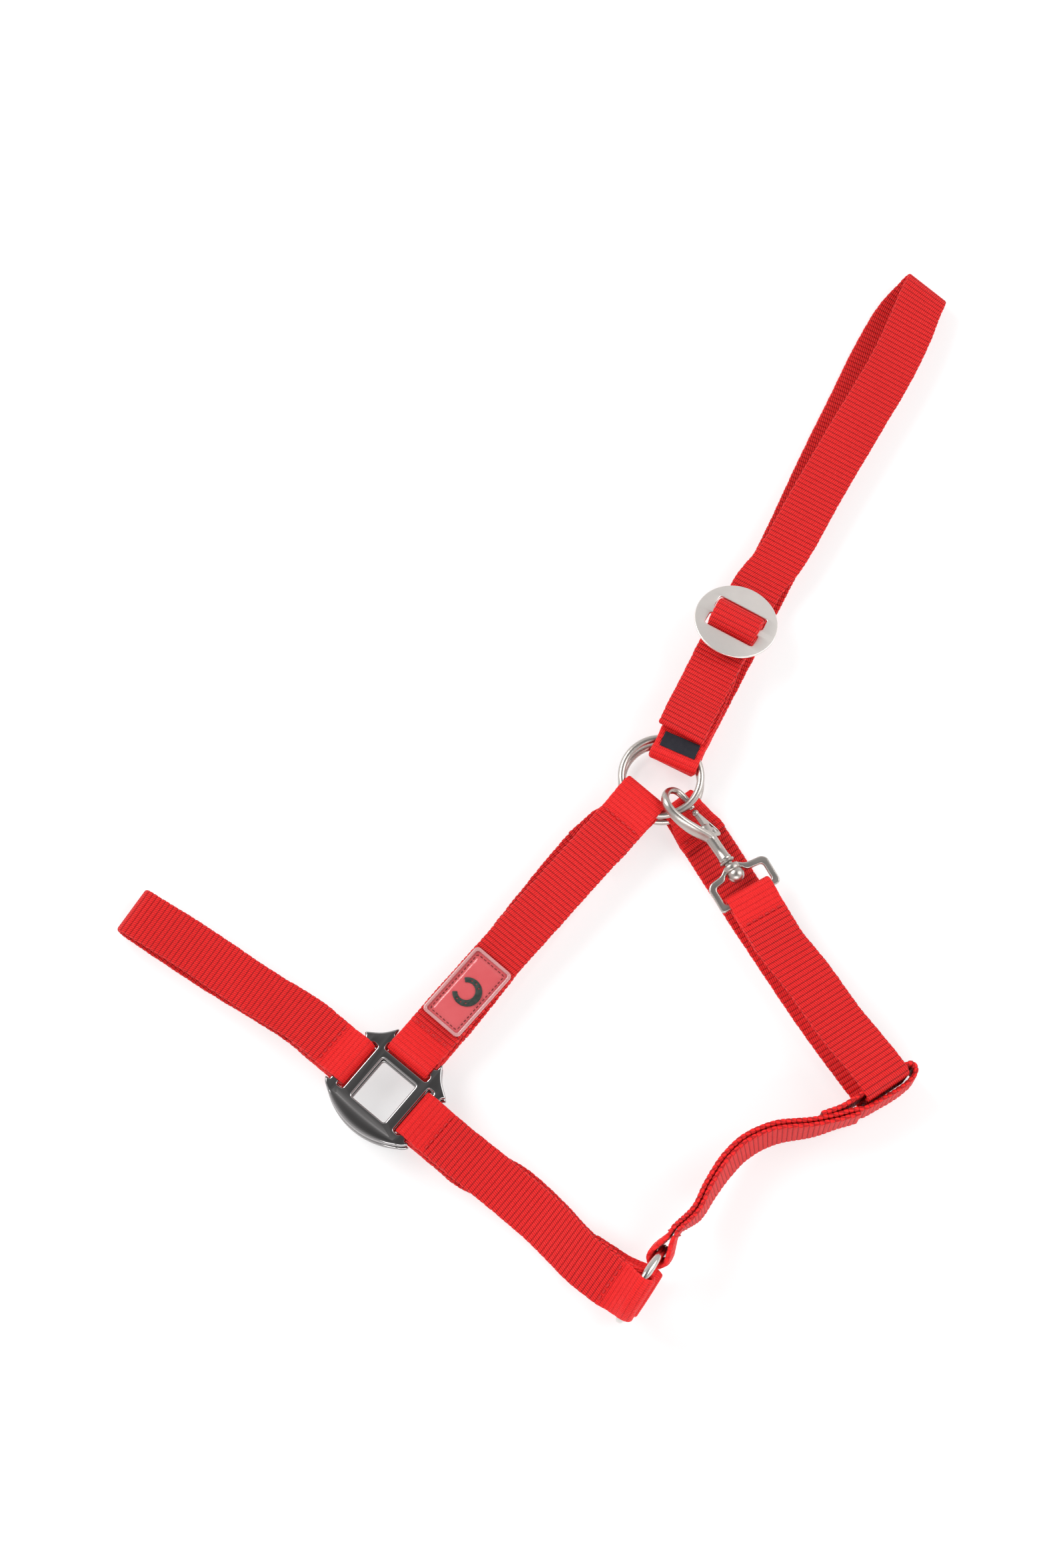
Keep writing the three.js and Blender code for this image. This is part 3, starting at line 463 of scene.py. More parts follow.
def sewn_end(bar, away, across, radius, crease=9.0, lap=LAP, reach=0.0, drop=0.0, sag=(0, 0, 0),
             slack=0.0, under=False, pinch=1.0, seam_at=None, seam_below=False, settle=None,
             stretch=0.0):
    """An end of webbing turned round a bar and sewn back on itself, from the tip of the lap outwards."""
    w = unit(across)
    d = unit(away - w * away.dot(w))
    n = unit(np.cross(d, w))
    if n[2] < -0.05:
        n = -n
    if under:
        n = -n
    sag = np.asarray(sag, float)
    seam_at = crease + 3.4 if seam_at is None else seam_at

    def at(x, y, share, calm, seam=0.0, side=w):
        return station(bar + d * (x - slack) + n * y, side, sag * share, 1 + (pinch - 1) * share, calm, seam)

    def touch(y, side):
        return math.atan2(y, crease - reach) + side * math.acos(radius / math.hypot(crease - reach, y))

    first = touch(drop - LAYER_HALF, -1)
    last = touch(drop + LAYER_HALF, 1) - 2 * math.pi
    arc = []
    steps = 16
    for i in range(steps + 1):
        angle = first + (last - first) * i / steps
        shift = reach if math.cos(angle) > 1e-9 else -stretch
        arc.append(at(shift + radius * math.cos(angle), radius * math.sin(angle), 1.0, 1.0))

    def layer(y):
        spots = [(crease + lap, 0, 0, 0, 1.0), (crease + 7.0, 0, 0, 0, 0.9), (seam_at, 0, 0.5, 1.0, 0.8),
                 (crease, 0.25, 1.0, 0, 0.6)]
        rows = []
        for x, share, calm, seam, turned in spots:
            side = w if settle is None else unit(w * (1 - turned) + settle * turned)
            if x <= crease + lap:
                rows.append(at(x, y, share, calm, seam, side))
        return rows

    path = layer(drop - LAYER_HALF) + arc + layer(drop + LAYER_HALF)[::-1]
    face = -n if under != seam_below else n
    offset = -drop if under != seam_below else drop
    seam_across = w if settle is None else unit(w * 0.2 + settle * 0.8)
    seam_up = unit(np.cross(d, seam_across))
    if seam_up.dot(face) < 0:
        seam_up = -seam_up
    seam = {"p": bar + d * (seam_at - slack) + face * offset, "w": seam_across, "n": seam_up}
    return {"path": path, "seam": seam}


def course(points):
    """The free run of a strap: x, y, z, heading across it and tip above level."""
    return [station(xyz(*point[:3]), across(*point[3:])) for point in points]


def refined(path, steps=14):
    """The stations joined by a smooth curve, with where along it each station lies."""
    rows = np.array(path)
    points = rows[:, :3]
    ends = np.vstack([2 * points[0] - points[1], points, 2 * points[-1] - points[-2]])
    knots = np.sqrt(np.linalg.norm(np.diff(ends, axis=0), axis=1) + 1e-9)
    out = []
    for i in range(len(points) - 1):
        p0, p1, p2, p3 = ends[i:i + 4]
        t1 = knots[i]
        t2 = t1 + knots[i + 1]
        t3 = t2 + knots[i + 2]
        count = max(steps, int(np.linalg.norm(p2 - p1)))
        for k in range(count):
            share = k / count
            t = t1 + (t2 - t1) * share
            a1 = p0 * (t1 - t) / t1 + p1 * t / t1
            a2 = p1 * (t2 - t) / (t2 - t1) + p2 * (t - t1) / (t2 - t1)
            a3 = p2 * (t3 - t) / (t3 - t2) + p3 * (t - t2) / (t3 - t2)
            b1 = a1 * (t2 - t) / t2 + a2 * t / t2
            b2 = a2 * (t3 - t) / (t3 - t1) + a3 * (t - t1) / (t3 - t1)
            place = b1 * (t2 - t) / (t2 - t1) + b2 * (t - t1) / (t2 - t1)
            row = rows[i] * (1 - share) + rows[i + 1] * share
            row[:3] = place
            out.append((i + share, row))
    out.append((len(points) - 1, rows[-1]))
    index = np.array([o[0] for o in out])
    data = np.array([o[1] for o in out])
    length = np.concatenate([[0], np.cumsum(np.linalg.norm(np.diff(data[:, :3], axis=0), axis=1))])
    seams = [float(np.interp(i, index, length)) for i in range(len(rows)) if rows[i, 11] > 0.5]
    return data, length, seams


RIB_PHASES = (0.0, 0.09, 0.24, 0.5, 0.76, 0.91)
RIB_HEIGHTS = (0.0, 0.6, 0.92, 1.0, 0.92, 0.6)
GROOVE_HALF, RIB_RISE = 0.76, 0.44      # half thickness in a groove, and how far a rib stands above it
CALM_HALF, CALM_RISE = 0.94, 0.26       # the same where the ribs are stretched flat
FLAT_POINTS, EDGE_POINTS = 11, 5


def section(half_width, half_thick):
    """One outline across the webbing, with rounded selvedges: x across and y through it."""
    flat = np.linspace(-1, 1, FLAT_POINTS) * (half_width - half_thick * 0.9)
    turn = np.radians(np.linspace(90, -90, EDGE_POINTS + 2))[1:-1]
    edge_x = half_width - half_thick * 0.9 + half_thick * 0.9 * np.cos(turn)
    edge_y = half_thick * np.sin(turn)
    x = np.concatenate([flat, edge_x, flat[::-1], -edge_x])
    face_y = np.full(FLAT_POINTS, half_thick)
    return x, np.concatenate([face_y, edge_y, -face_y, -edge_y])


def webbing(name, path, pitch, scallop, seed):
    data, length, seams = refined(path)
    draw = np.random.RandomState(seed)
    ribs = max(2, int(round(length[-1] / pitch)))
    step = length[-1] / ribs
    places = [((k + phase) * step, height, k)
              for k in range(ribs) for phase, height in zip(RIB_PHASES, RIB_HEIGHTS)]
    places.append((length[-1], 0.0, ribs))
    s = np.array([p[0] for p in places])
    rise = np.array([p[1] for p in places])
    rise = rise * (1 + draw.uniform(-0.12, 0.12, ribs + 1))[[p[2] for p in places]]
    rows = np.column_stack([np.interp(s, length, data[:, c]) for c in range(12)])
    reach = 0.8
    ahead = np.column_stack([np.interp(s + reach, length, data[:, c]) for c in range(3)])
    behind = np.column_stack([np.interp(s - reach, length, data[:, c]) for c in range(3)])
    tangent = ahead - behind
    tangent /= np.linalg.norm(tangent, axis=1)[:, None]
    w = rows[:, 3:6] / np.linalg.norm(rows[:, 3:6], axis=1)[:, None]
    normal = np.cross(tangent, w)
    normal /= np.linalg.norm(normal, axis=1)[:, None]
    calm = rows[:, 10]
    dent = sum((np.exp(-((s - at) / 1.3) ** 2) for at in seams), np.zeros(len(s)))
    thick = (GROOVE_HALF + RIB_RISE * rise) * (1 - calm) + (CALM_HALF + CALM_RISE * rise) * calm - 0.3 * dent
    width = WEB_HALF * rows[:, 9] + (rise - 0.75) * scallop * (1 - calm * 0.6)
    drift = draw.uniform(-0.35, 0.35, ribs + 1)
    width = width + np.interp(s, np.arange(ribs + 1) * step, drift) * 0.35
    verts, weave = [], []
    for i in range(len(s)):
        x, y = section(width[i], thick[i])
        u = x / (WEB_HALF * rows[i, 9])
        point = rows[i, :3] + np.outer(x, w[i]) + np.outer(u * u, rows[i, 6:9]) + np.outer(y, normal[i])
        verts.append(point)
        along = np.full(len(x), s[i] / step)
        weave.append(np.column_stack([x + (y < 0) * 0.5, along, np.full(len(x), calm[i])]))
    obj = make_object(name, np.vstack(verts), loft(verts))
    give(obj, "weave", np.vstack(weave))
    return closed(obj)


# ------------------------------------------------ thread
STITCH_PITCH, STITCH_LENGTH, THREAD_RADIUS = 3.5, 2.9, 0.4


def stitches(name, spots, length=STITCH_LENGTH, thread=THREAD_RADIUS, arch=0.62):
    """Stitches as arches of thread, each from its middle on the webbing, its run and its way up."""
    verts, twist, faces = [], [], []
    rings, sides = 9, 8
    arch_faces = loft([range(sides)] * rings)
    for number, (middle, run, up) in enumerate(spots):
        start = len(verts)
        side = np.cross(run, up)
        for i in range(rings):
            t = i / (rings - 1)
            swell = math.sin(math.pi * t)
            radius = thread * (0.55 + 0.45 * swell ** 0.5)
            centre = middle + run * (t - 0.5) * length + up * arch * swell ** 0.6
            for j in range(sides):
                angle = 2 * math.pi * j / sides
                out = side * math.cos(angle) * 1.1 + up * math.sin(angle) * 0.8
                verts.append(centre + out * radius)
                twist.append((number + t * length, j / sides, 0.0))
        faces += [tuple(start + j for j in face) for face in arch_faces]
    obj = make_object(name, np.array(verts), faces)
    give(obj, "twist", twist)
    return closed(obj)


def seam_spots(seam, count=6, stack=LAYER_HALF + 0.71):
    """A row of stitches across a seam, on both faces of its two layers."""
    run, up = unit(seam["w"]), unit(seam["n"])
    return [(seam["p"] + run * (k - (count - 1) / 2) * STITCH_PITCH + up * face * stack, run, up * face)
            for face in (1, -1) for k in range(count)]


def edge_spots(route, start, stop, inset=2.5, lift=0.75):
    """Two rows of stitches along the selvedges of a strap, between two places along it."""
    data, length, _ = refined(route)
    spots = []
    for edge in (-1, 1):
        for at in np.arange(start, stop, STITCH_PITCH):
            here, ahead = (np.array([np.interp(at + d, length, data[:, c]) for c in range(6)])
                           for d in (0, 1))
            run, w = unit(ahead[:3] - here[:3]), unit(here[3:6])
            up = np.cross(run, w)
            up = up if up[2] > 0 else -up
            spots.append((here[:3] + w * edge * (WEB_HALF - inset) + up * lift, run, up))
    return spots


# ------------------------------------------------ the straps' routes
def on_table(height):
    return {"under": True, "crease": 13.0, "drop": height - TABLE_LAYER - LAYER_HALF}


LEAD_X = heading(LEAD_HEADING)
LEAD_AXIS = np.cross(LEAD_X, UP)
DISC_RUN, DISC_ACROSS = heading(DISC_HEADING), heading(DISC_HEADING - 90)


def lead_out(degrees):
    return LEAD_X * math.cos(math.radians(degrees)) + UP * math.sin(math.radians(degrees))


def lead_bar(degrees):
    return LEAD_RING + lead_out(degrees) * LEAD_RADIUS


def square_axis(degrees):
    return heading(SQUARE_HEADING + degrees)


def square_bar(side, degrees, shift=0.0):
    centre = xyz(SQUARE_XY[0], SQUARE_XY[1], SQUARE_Z[side])
    return centre + square_axis(degrees) * SQUARE_BAR + square_axis(degrees + 90) * shift


def ring_end(ring, degrees, **options):
    out = heading(degrees)
    settings = {"across": heading(degrees + 90), "stretch": RING_SLACK, "slack": 0.9}
    settings.update(options)
    return sewn_end(bar=ring + out * RING_RADIUS, away=out, radius=RING_LOOP, **settings)


CROWDED = {"pinch": PINCH, "stretch": RING_SLACK * PINCH * PINCH}


def cheek_strap(side):
    low = side == "off"
    if low:
        top = ring_end(OFF_RING, OFF_CHEEK_ON_RING, **CROWDED, **on_table(OFF_RING[2]))
    else:
        top = ring_end(NEAR_RING, NEAR_CHEEK_ON_RING)
    options = {"crease": 11.0}
    options.update(on_table(SQUARE_Z["off"]) if low else {})
    bottom = sewn_end(square_bar(side, 0, 0.3), square_axis(0), square_axis(-90), SQUARE_LOOP, **options)
    return top["path"] + bottom["path"][::-1], {"ring": top["seam"], "square": bottom["seam"]}


def noseband():
    def end(side):
        options = on_table(SQUARE_Z["off"]) if side == "off" else {}
        return sewn_end(square_bar(side, 90, -1.9), square_axis(90), square_axis(0), SQUARE_LOOP, **options)
    near, off = end("near"), end("off")
    around = course([
        (-135, -104.6, 15.8, 54.5), (-170, -80.6, 14, 55), (-194.9, -64.8, 12.6, 55.5),
        (-198.3, -62.4, 11.1, 55.5), (-199.6, -61.5, 7, 55.5), (-198.3, -62.4, 2.9, 55.5),
        (-194.9, -64.8, 1.7, 55.5),
        (-160, -88.2, TABLE_LAYER, 54.5)])
    return near["path"] + around + off["path"][::-1], {"near": near["seam"], "off": off["seam"]}


def chin_strap(side):
    low = side == "off"
    place = OFF_CHIN_ON_RING if low else NEAR_CHIN_ON_RING
    bar = lead_bar(place)
    square = sewn_end(square_bar(side, -90, 0.9), square_axis(-90), square_axis(0), SQUARE_LOOP,
                      **(on_table(SQUARE_Z["off"]) if low else {}))
    away = -LEAD_AXIS if low else heading(141) - UP * 0.2
    ring = sewn_end(bar, away, lead_out(place + 90 if low else place - 90), LEAD_LOOP,
                    sag=lead_out(place) * -LEAD_SAG, settle=across(LEAD_HEADING - 3, 0 if low else 14),
                    **(on_table(bar[2]) if low else {}))
    if low:
        middle = course([(-11.3, -199.5, TABLE_LAYER, 48), (7, -215.7, TABLE_LAYER, 49)])
    else:
        middle = course([(-19.4, -197.8, 19, 49, 4), (4.8, -219.6, 27.5, 50, 12)])
    path = square["path"] + middle + ring["path"][::-1]
    return path, {"square": square["seam"], "ring": ring["seam"]}


def at_bight(s, l, z, upright=False):
    place = BIGHT + heading(THROAT_HEADING) * s + heading(THROAT_HEADING + 90) * l
    return (place[0], place[1], z, 0, 90) if upright else (place[0], place[1], z, THROAT_HEADING + 90)


def throat_strap():
    options = on_table(OFF_RING[2])
    options.update(crease=10.0, lap=8.0)
    ring = ring_end(OFF_RING, THROAT_ON_RING, **CROWDED, **options)
    eye = sewn_end(EYE_BAR, heading(EYE_HEADING + 180), heading(EYE_HEADING - 90), EYE_LOOP)
    off = course([(108, -57.5, TABLE_LAYER, 33), (121.2, -78.5, TABLE_LAYER, 32),
                  (144, -114, TABLE_LAYER, 33)])
    bight = course([at_bight(*spot) for spot in (
        (-3, -2.6, TABLE_LAYER), (1, -2.5, TABLE_LAYER), (2.6, -2.4, 1.9), (3.4, -2.2, 3.6), (3.6, -2, 6),
        (3.6, -1, 18), (3.6, -0.5, 26.5), (3, -0.5, 29), (0.8, -0.5, 30.1), (-4, -0.5, 29.9),
        (-14, -0.6, 27.2))])
    near = course([(152, -121.5, 21.5, 33), (136, -96.5, 16.4, 32)])
    path = ring["path"] + off + bight + near + eye["path"][::-1]
    return path, {"ring": ring["seam"], "eye": eye["seam"]}


CONNECTOR_SPINE = ((150, -168.5, 13), (138, -171.7, 13), (118.8, -174.8, 14), (105, -181.5, 15.4),
                   (95.7, -190.5, 17), (87, -203, 19), (80.1, -215, 21))
CONNECTOR_LEAN = (0, 4, 9, 11, 11, 8, 4)    # degrees off upright at each of those places


def connector_strap():
    def layer(side):
        rows = []
        for i, (x, y, z) in enumerate(CONNECTOR_SPINE):
            before = CONNECTOR_SPINE[max(i - 1, 0)]
            after = CONNECTOR_SPINE[min(i + 1, len(CONNECTOR_SPINE) - 1)]
            out = np.cross(unit((after[0] - before[0], after[1] - before[1], 0)), UP)
            turn = math.degrees(math.atan2(out[1], out[0]))
            rows.append((x + out[0] * side, y + out[1] * side, z, turn, 90 - CONNECTOR_LEAN[i]))
        return rows
    out = lead_out(CONNECTOR_ON_RING)
    ring = sewn_end(lead_bar(CONNECTOR_ON_RING), out, lead_out(CONNECTOR_ON_RING + 90), LEAD_LOOP,
                    sag=out * -LEAD_SAG, slack=0.9, lap=3, seam_at=10)
    outer = course([(160.5, -166.9, 13, 0, 90)] + layer(-LAYER_HALF))
    loop = [(4.2, -20.8, 13), (6.6, -16, 13), (7.4, -8, 13), (7.9, 1, 13), (7.7, 8, 13.3), (6.4, 13.6, 13.6),
            (3.8, 16.1, 14.4), (1.0, 15.4, 15.2), (0, 12, 15.6), (0, -5, 15.6), (0, -18.5, 15.4)]
    inner = course(layer(LAYER_HALF)[::-1] + [at_bight(*spot, upright=True) for spot in loop]
                   + [(151.6, -163.4, 14.6, 0, 90), (141.5, -167, 13.6, 0, 90)])
    return outer + ring["path"][::-1] + inner, {"ring": ring["seam"]}


def crown_strap():
    ring = ring_end(OFF_RING, CROWN_ON_RING, across=heading(-27), **on_table(OFF_RING[2]))
    body = course([
        (102, 77, TABLE_LAYER, -27), (132.1, 136.2, TABLE_LAYER, -26), (147.8, 170.5, TABLE_LAYER, -25),
        (165.9, 208, TABLE_LAYER, -25), (180.5, 238, TABLE_LAYER, -27), (192.5, 258.5, TABLE_LAYER, -33),
        (200.5, 267.5, 2.4, -39), (206.4, 272.4, 6.6, -42), (206.6, 270.4, 10.8, -40),
        (203.2, 263, 12.9, -36),
        (197, 247.5, 13.8, -31), (186.9, 226.3, 14, -30), (166.5, 191, 14, -29.5), (147.3, 157.8, 13.6, -29),
        (128, 123.5, 12.6, -29)])

    def over_disc(u, z, shift=0.0, calm=0.0):
        return station(DISC + DISC_RUN * u + DISC_ACROSS * shift + UP * z, DISC_ACROSS, calm=calm)
    climb = [over_disc(*spot) for spot in ((26, -8.9), (14, -8.7), (10, -7.7), (7.5, -4.7))]
    turn = [over_disc(CROWN_LOOP * math.cos(math.radians(a)), CROWN_LOOP * math.sin(math.radians(a)), 0, 0.25)
            for a in range(-8, 133, 20)]
    tail = [over_disc(*spot) for spot in (
        (-5.6, 3.2, 0.1), (-8.3, -1.2, 0.2), (-10.4, -2.3, 0.3), (-14, -2.3, 0.5), (-32, -1.1, 1.5),
        (-44, 1.2, 2.3), (-52, 4.2, 2.8), (-56, 4.9, 3))]
    hem = [over_disc(-64.4 - 1.3 * math.cos(math.radians(a)), 3.6 + 1.3 * math.sin(math.radians(a)), 3.6)
           for a in range(90, -91, -36)]
    hem.append(over_disc(-56.5, 2.3, 3))
    return ring["path"] + body + climb + turn + tail + hem, {"ring": ring["seam"]}


def near_tab():
    disc = sewn_end(DISC + DISC_ACROSS * 0.6, -DISC_RUN, DISC_ACROSS, BAR_LOOP, crease=7.6, lap=9, drop=-6.5,
                    seam_below=True)
    ring = sewn_end(xyz(72.2, 15.4, NEAR_RING[2]), heading(TAB_HEADING), heading(TAB_HEADING - 90), RING_LOOP,
                    reach=9.5, crease=19, lap=12, drop=-0.4)
    return disc["path"] + ring["path"][::-1], {"disc": disc["seam"], "ring": ring["seam"]}


# ------------------------------------------------ hardware shapes
def loft(rows, closed_rows=False):
    """Faces for rings of points that follow each other, capped at both ends unless the rows close."""
    count, size = len(rows), len(rows[0])
    faces = []
    for i in range(count if closed_rows else count - 1):
        a, b = i * size, ((i + 1) % count) * size
        faces += [(a + j, a + (j + 1) % size, b + (j + 1) % size, b + j) for j in range(size)]
    if not closed_rows:
        faces.append(tuple(range(size))[::-1])
        faces.append(tuple(range((count - 1) * size, count * size)))
    return faces


def wire_ring(name, centre, axis, radius, wire):
    """A welded ring of round wire, with the slight swelling of its butt weld."""
    x = unit(np.cross(axis, UP)) if abs(axis[2]) < 0.9 else xyz(1, 0, 0)
    y = np.cross(axis, x)
    rows = []
    count, sides = 180, 24
    weld = 2.4
    for i in range(count):
        angle = 2 * math.pi * i / count
        out = x * math.cos(angle) + y * math.sin(angle)
        gap = abs((angle - weld + math.pi) % (2 * math.pi) - math.pi) * radius
        r = wire * (1 + 0.035 * math.exp(-(gap / 1.2) ** 2) - 0.05 * math.exp(-(gap / 0.35) ** 2))
        rows.append([centre + out * (radius + r * math.cos(t)) + axis * r * math.sin(t)
                     for t in np.linspace(0, 2 * math.pi, sides, endpoint=False)])
    return tidy(make_object(name, np.array(rows).reshape(-1, 3), loft(rows, True)))


def rounded(corners, radius, steps=5):
    """A closed outline with each corner turned by an arc; radius is one number, or one for each corner."""
    out = []
    count = len(corners)
    for i, corner in enumerate(corners):
        here = np.array(corner, float)
        before = np.array(corners[i - 1], float) - here
        after = np.array(corners[(i + 1) % count], float) - here
        r = radius[i] if isinstance(radius, (list, tuple)) else radius
        la, lb = np.linalg.norm(before), np.linalg.norm(after)
        cut = min(r, la * 0.45, lb * 0.45)
        start, end = here + before / la * cut, here + after / lb * cut
        for k in range(steps + 1):
            t = k / steps
            out.append(start * (1 - t) ** 2 + here * 2 * t * (1 - t) + end * t * t)
    return out


def plate(name, outer, holes, thick, bevel, place, resolution=3):
    """A flat plate with holes and round-edged rims, drawn in local x and y about z = 0."""
    curve = bpy.data.curves.new(name, "CURVE")
    curve.dimensions = "2D"
    curve.fill_mode = "BOTH"
    curve.extrude = (thick / 2 - bevel) * MM
    curve.bevel_depth = bevel * MM
    curve.bevel_resolution = resolution
    curve.offset = -bevel * MM
    for line in [outer, *holes]:
        spline = curve.splines.new("POLY")
        spline.points.add(len(line) - 1)
        for point, (x, y) in zip(spline.points, line):
            point.co = (x * MM, y * MM, 0, 1)
        spline.use_cyclic_u = True
    drawing = placed(name, curve)
    mesh = evaluated_mesh(drawing)
    bpy.data.objects.remove(drawing)
    points = np.array([tuple(vert.co) for vert in mesh.vertices]) / MM
    faces = [tuple(face.vertices) for face in mesh.polygons]
    bpy.data.meshes.remove(mesh)
    return sharp_by_angle(tidy(make_object(name, place(points), faces)))


def boolean(target, other, kind):
    step = target.modifiers.new("cut", "BOOLEAN")
    step.operation = kind
    step.solver = "EXACT"
    step.object = other
    made = evaluated_mesh(target)
    target.modifiers.clear()
    target.data = made
    bpy.data.objects.remove(other)
    return target


def arc_points(centre, radius, start, end, steps):
    return [(centre[0] + radius * math.cos(math.radians(a)), centre[1] + radius * math.sin(math.radians(a)))
            for a in np.linspace(start, end, steps)]


def rect(x0, x1, y0, y1):
    return [(x0, y0), (x1, y0), (x1, y1), (x0, y1)]


def crescent(name, place):
    """The domed crescent along the square's outer edge: its section swells between two arcs."""
    rows = []
    steps, around = 44, 20
    for angle in np.linspace(-37.5, 37.5, steps):
        a = math.radians(angle)
        outer = np.array([CRESCENT_CENTRE - CRESCENT_RADIUS * math.cos(a), CRESCENT_RADIUS * math.sin(a)])
        share = min(1.0, abs(angle) / 37.5)
        inner_x = -14.6 - 0.6 * math.cos(a * 2)
        inner_y = outer[1] * (0.97 - 0.02 * share)
        inner = np.array([max(inner_x, outer[0] + 1.6), inner_y])
        middle = (inner + outer) / 2
        half = (inner - outer) / 2
        height = CRESCENT_THICK / 2 * (1 - 0.42 * share ** 2.4)
        ring = []
        for t in np.linspace(0, 2 * math.pi, around, endpoint=False):
            c, s = math.cos(t), math.sin(t)
            flat = math.copysign(abs(c) ** 0.75, c)
            rise = math.copysign(abs(s) ** 0.7, s)
            ring.append((middle[0] + half[0] * flat, middle[1] + half[1] * flat, height * rise))
        rows.append(ring)
    return tidy(make_object(name, place(np.array(rows).reshape(-1, 3)), loft(rows)))


def halter_square(name, side):
    place = basis(xyz(SQUARE_XY[0], SQUARE_XY[1], SQUARE_Z[side]), square_axis(0), square_axis(90), UP)
    reach = SLOT[1] + 4.4
    lower = [(reach, -13.4), (29, -13.7), (21.8, -18.6), (16.5, -26.3), (15, -reach), (-12.6, -reach),
             (-12.6, -27), (-15.2, -25.2), (-17.4, -21.6)]
    corners = lower + [(x, -y) for x, y in lower[::-1]]
    radii = [1, 2.6, 5, 2.6, 1, 1, 1.2, 1.5, 2]
    radii += radii[::-1]
    holes = [rounded(rect(-WINDOW[0] / 2, WINDOW[0] / 2, -WINDOW[1] / 2, WINDOW[1] / 2), 1.6),
             rounded(rect(SLOT[0], SLOT[1], -SLOT_HALF, SLOT_HALF), 1.2),
             rounded(rect(SIDE_SLOT[0], SIDE_SLOT[1], SLOT[0], SLOT[1]), 1.2),
             rounded(rect(SIDE_SLOT[0], SIDE_SLOT[1], -SLOT[1], -SLOT[0]), 1.2)]
    body = plate(name, rounded(corners, radii), holes, SQUARE_THICK, 0.95, place, 4)
    boolean(body, crescent(name + "_crescent", place), "UNION")
    return sharp_by_angle(tidy(body), 38)


def adjuster_disc(name):
    tilt = math.radians(DISC_TILT)
    run = DISC_RUN * math.cos(tilt) - UP * math.sin(tilt)
    place = basis(DISC, DISC_ACROSS, run, np.cross(DISC_ACROSS, run))
    rim = arc_points((0, 0), DISC_RADIUS, 0, 360, 97)[:-1]
    holes = [rounded(rect(-DISC_SLOT_HALF, DISC_SLOT_HALF, *sorted(d * sign for d in DISC_SLOT)), 1.4)
             for sign in (1, -1)]
    return plate(name, rim, holes, DISC_THICK, 0.4, place, 3)


SHANK = heading(SHANK_HEADING)
HOOK_SIDE = -np.cross(SHANK, UP)
HOOK_OUT = unit(HOOK_SIDE * 0.68 + UP * 0.73)
HOOK_ACROSS = np.cross(SHANK, HOOK_OUT)
in_hook = basis(SNAP_ROOT, SHANK, HOOK_OUT, HOOK_ACROSS)


def turned(name, profile, place, facets=48):
    """A round piece: profile is radius and distance along the first axis of its place."""
    turns = np.linspace(0, 2 * math.pi, facets, endpoint=False)
    rows = [[(s, r * math.cos(t), r * math.sin(t)) for t in turns] for r, s in profile]
    return tidy(make_object(name, place(np.array(rows).reshape(-1, 3)), loft(rows)))


def smooth_line(points, per_span=6):
    """Numbers that pass smoothly through each row of points."""
    rows = np.array(points, float)
    ends = np.vstack([2 * rows[0] - rows[1], rows, 2 * rows[-1] - rows[-2]])
    out = []
    for i in range(len(rows) - 1):
        p0, p1, p2, p3 = ends[i:i + 4]
        for k in range(per_span):
            t = k / per_span
            out.append(0.5 * (2 * p1 + (p2 - p0) * t + (2 * p0 - 5 * p1 + 4 * p2 - p3) * t ** 2
                              + (3 * p1 - p0 - 3 * p2 + p3) * t ** 3))
    out.append(rows[-1])
    return np.array(out)


# The hook's spine: along the shank, out from it, half its thickness and half its width.
HOOK_LINE = (
    (-9, -0.4, 1.6, 2.2), (-5.5, 1.9, 2, 3.0), (0, 8, 2, 3.3), (6, 12.7, 1.9, 3.0), (12, 15.3, 1.9, 2.6),
    (17.6, 15.5, 1.9, 2.45), (21.8, 12.4, 1.8, 2.2), (23.8, 7, 1.7, 2.0), (22.4, 1.4, 1.65, 1.85),
    (17.5, -1.3, 1.65, 1.75), (11.6, -1.5, 1.6, 1.7), (10.6, -1.5, 1.15, 1.15))


def hook_spine(name):
    line = smooth_line(HOOK_LINE)
    rows = []
    around = 20
    for i, (s, h, thick, wide) in enumerate(line):
        before, after = line[max(i - 1, 0)], line[min(i + 1, len(line) - 1)]
        run = unit((after[0] - before[0], after[1] - before[1]))
        ring = []
        blunt = 0.6 + 0.4 * min(1.0, i / 30)
        for t in np.linspace(0, 2 * math.pi, around, endpoint=False):
            c = math.copysign(abs(math.cos(t)) ** blunt, math.cos(t)) * thick
            b = math.copysign(abs(math.sin(t)) ** blunt, math.sin(t)) * wide
            ring.append((s - run[1] * c, h + run[0] * c, b))
        rows.append(ring)
    return tidy(make_object(name, in_hook(np.array(rows).reshape(-1, 3)), loft(rows)))


def hook_pin(name, radius, half, dome=0.0):
    """A round pin across the hook at the gate's pivot."""
    pivot = SNAP_ROOT + SHANK * GATE_PIVOT[0] + HOOK_OUT * GATE_PIVOT[1]
    end = [(0.02, half + dome), (radius * 0.6, half + dome * 0.8), (radius * 0.92, half + dome * 0.3),
           (radius, half)]
    profile = [(r, -s) for r, s in end] + end[::-1]
    return turned(name, profile, basis(pivot, HOOK_ACROSS, SHANK, HOOK_OUT), 32)


def box_piece(name, low, high, place):
    corners = [(x, y, z) for x in (low[0], high[0]) for y in (low[1], high[1]) for z in (low[2], high[2])]
    faces = [(0, 1, 3, 2), (4, 6, 7, 5), (0, 4, 5, 1), (2, 3, 7, 6), (0, 2, 6, 4), (1, 5, 7, 3)]
    return tidy(make_object(name, place(corners), faces, smooth=False))


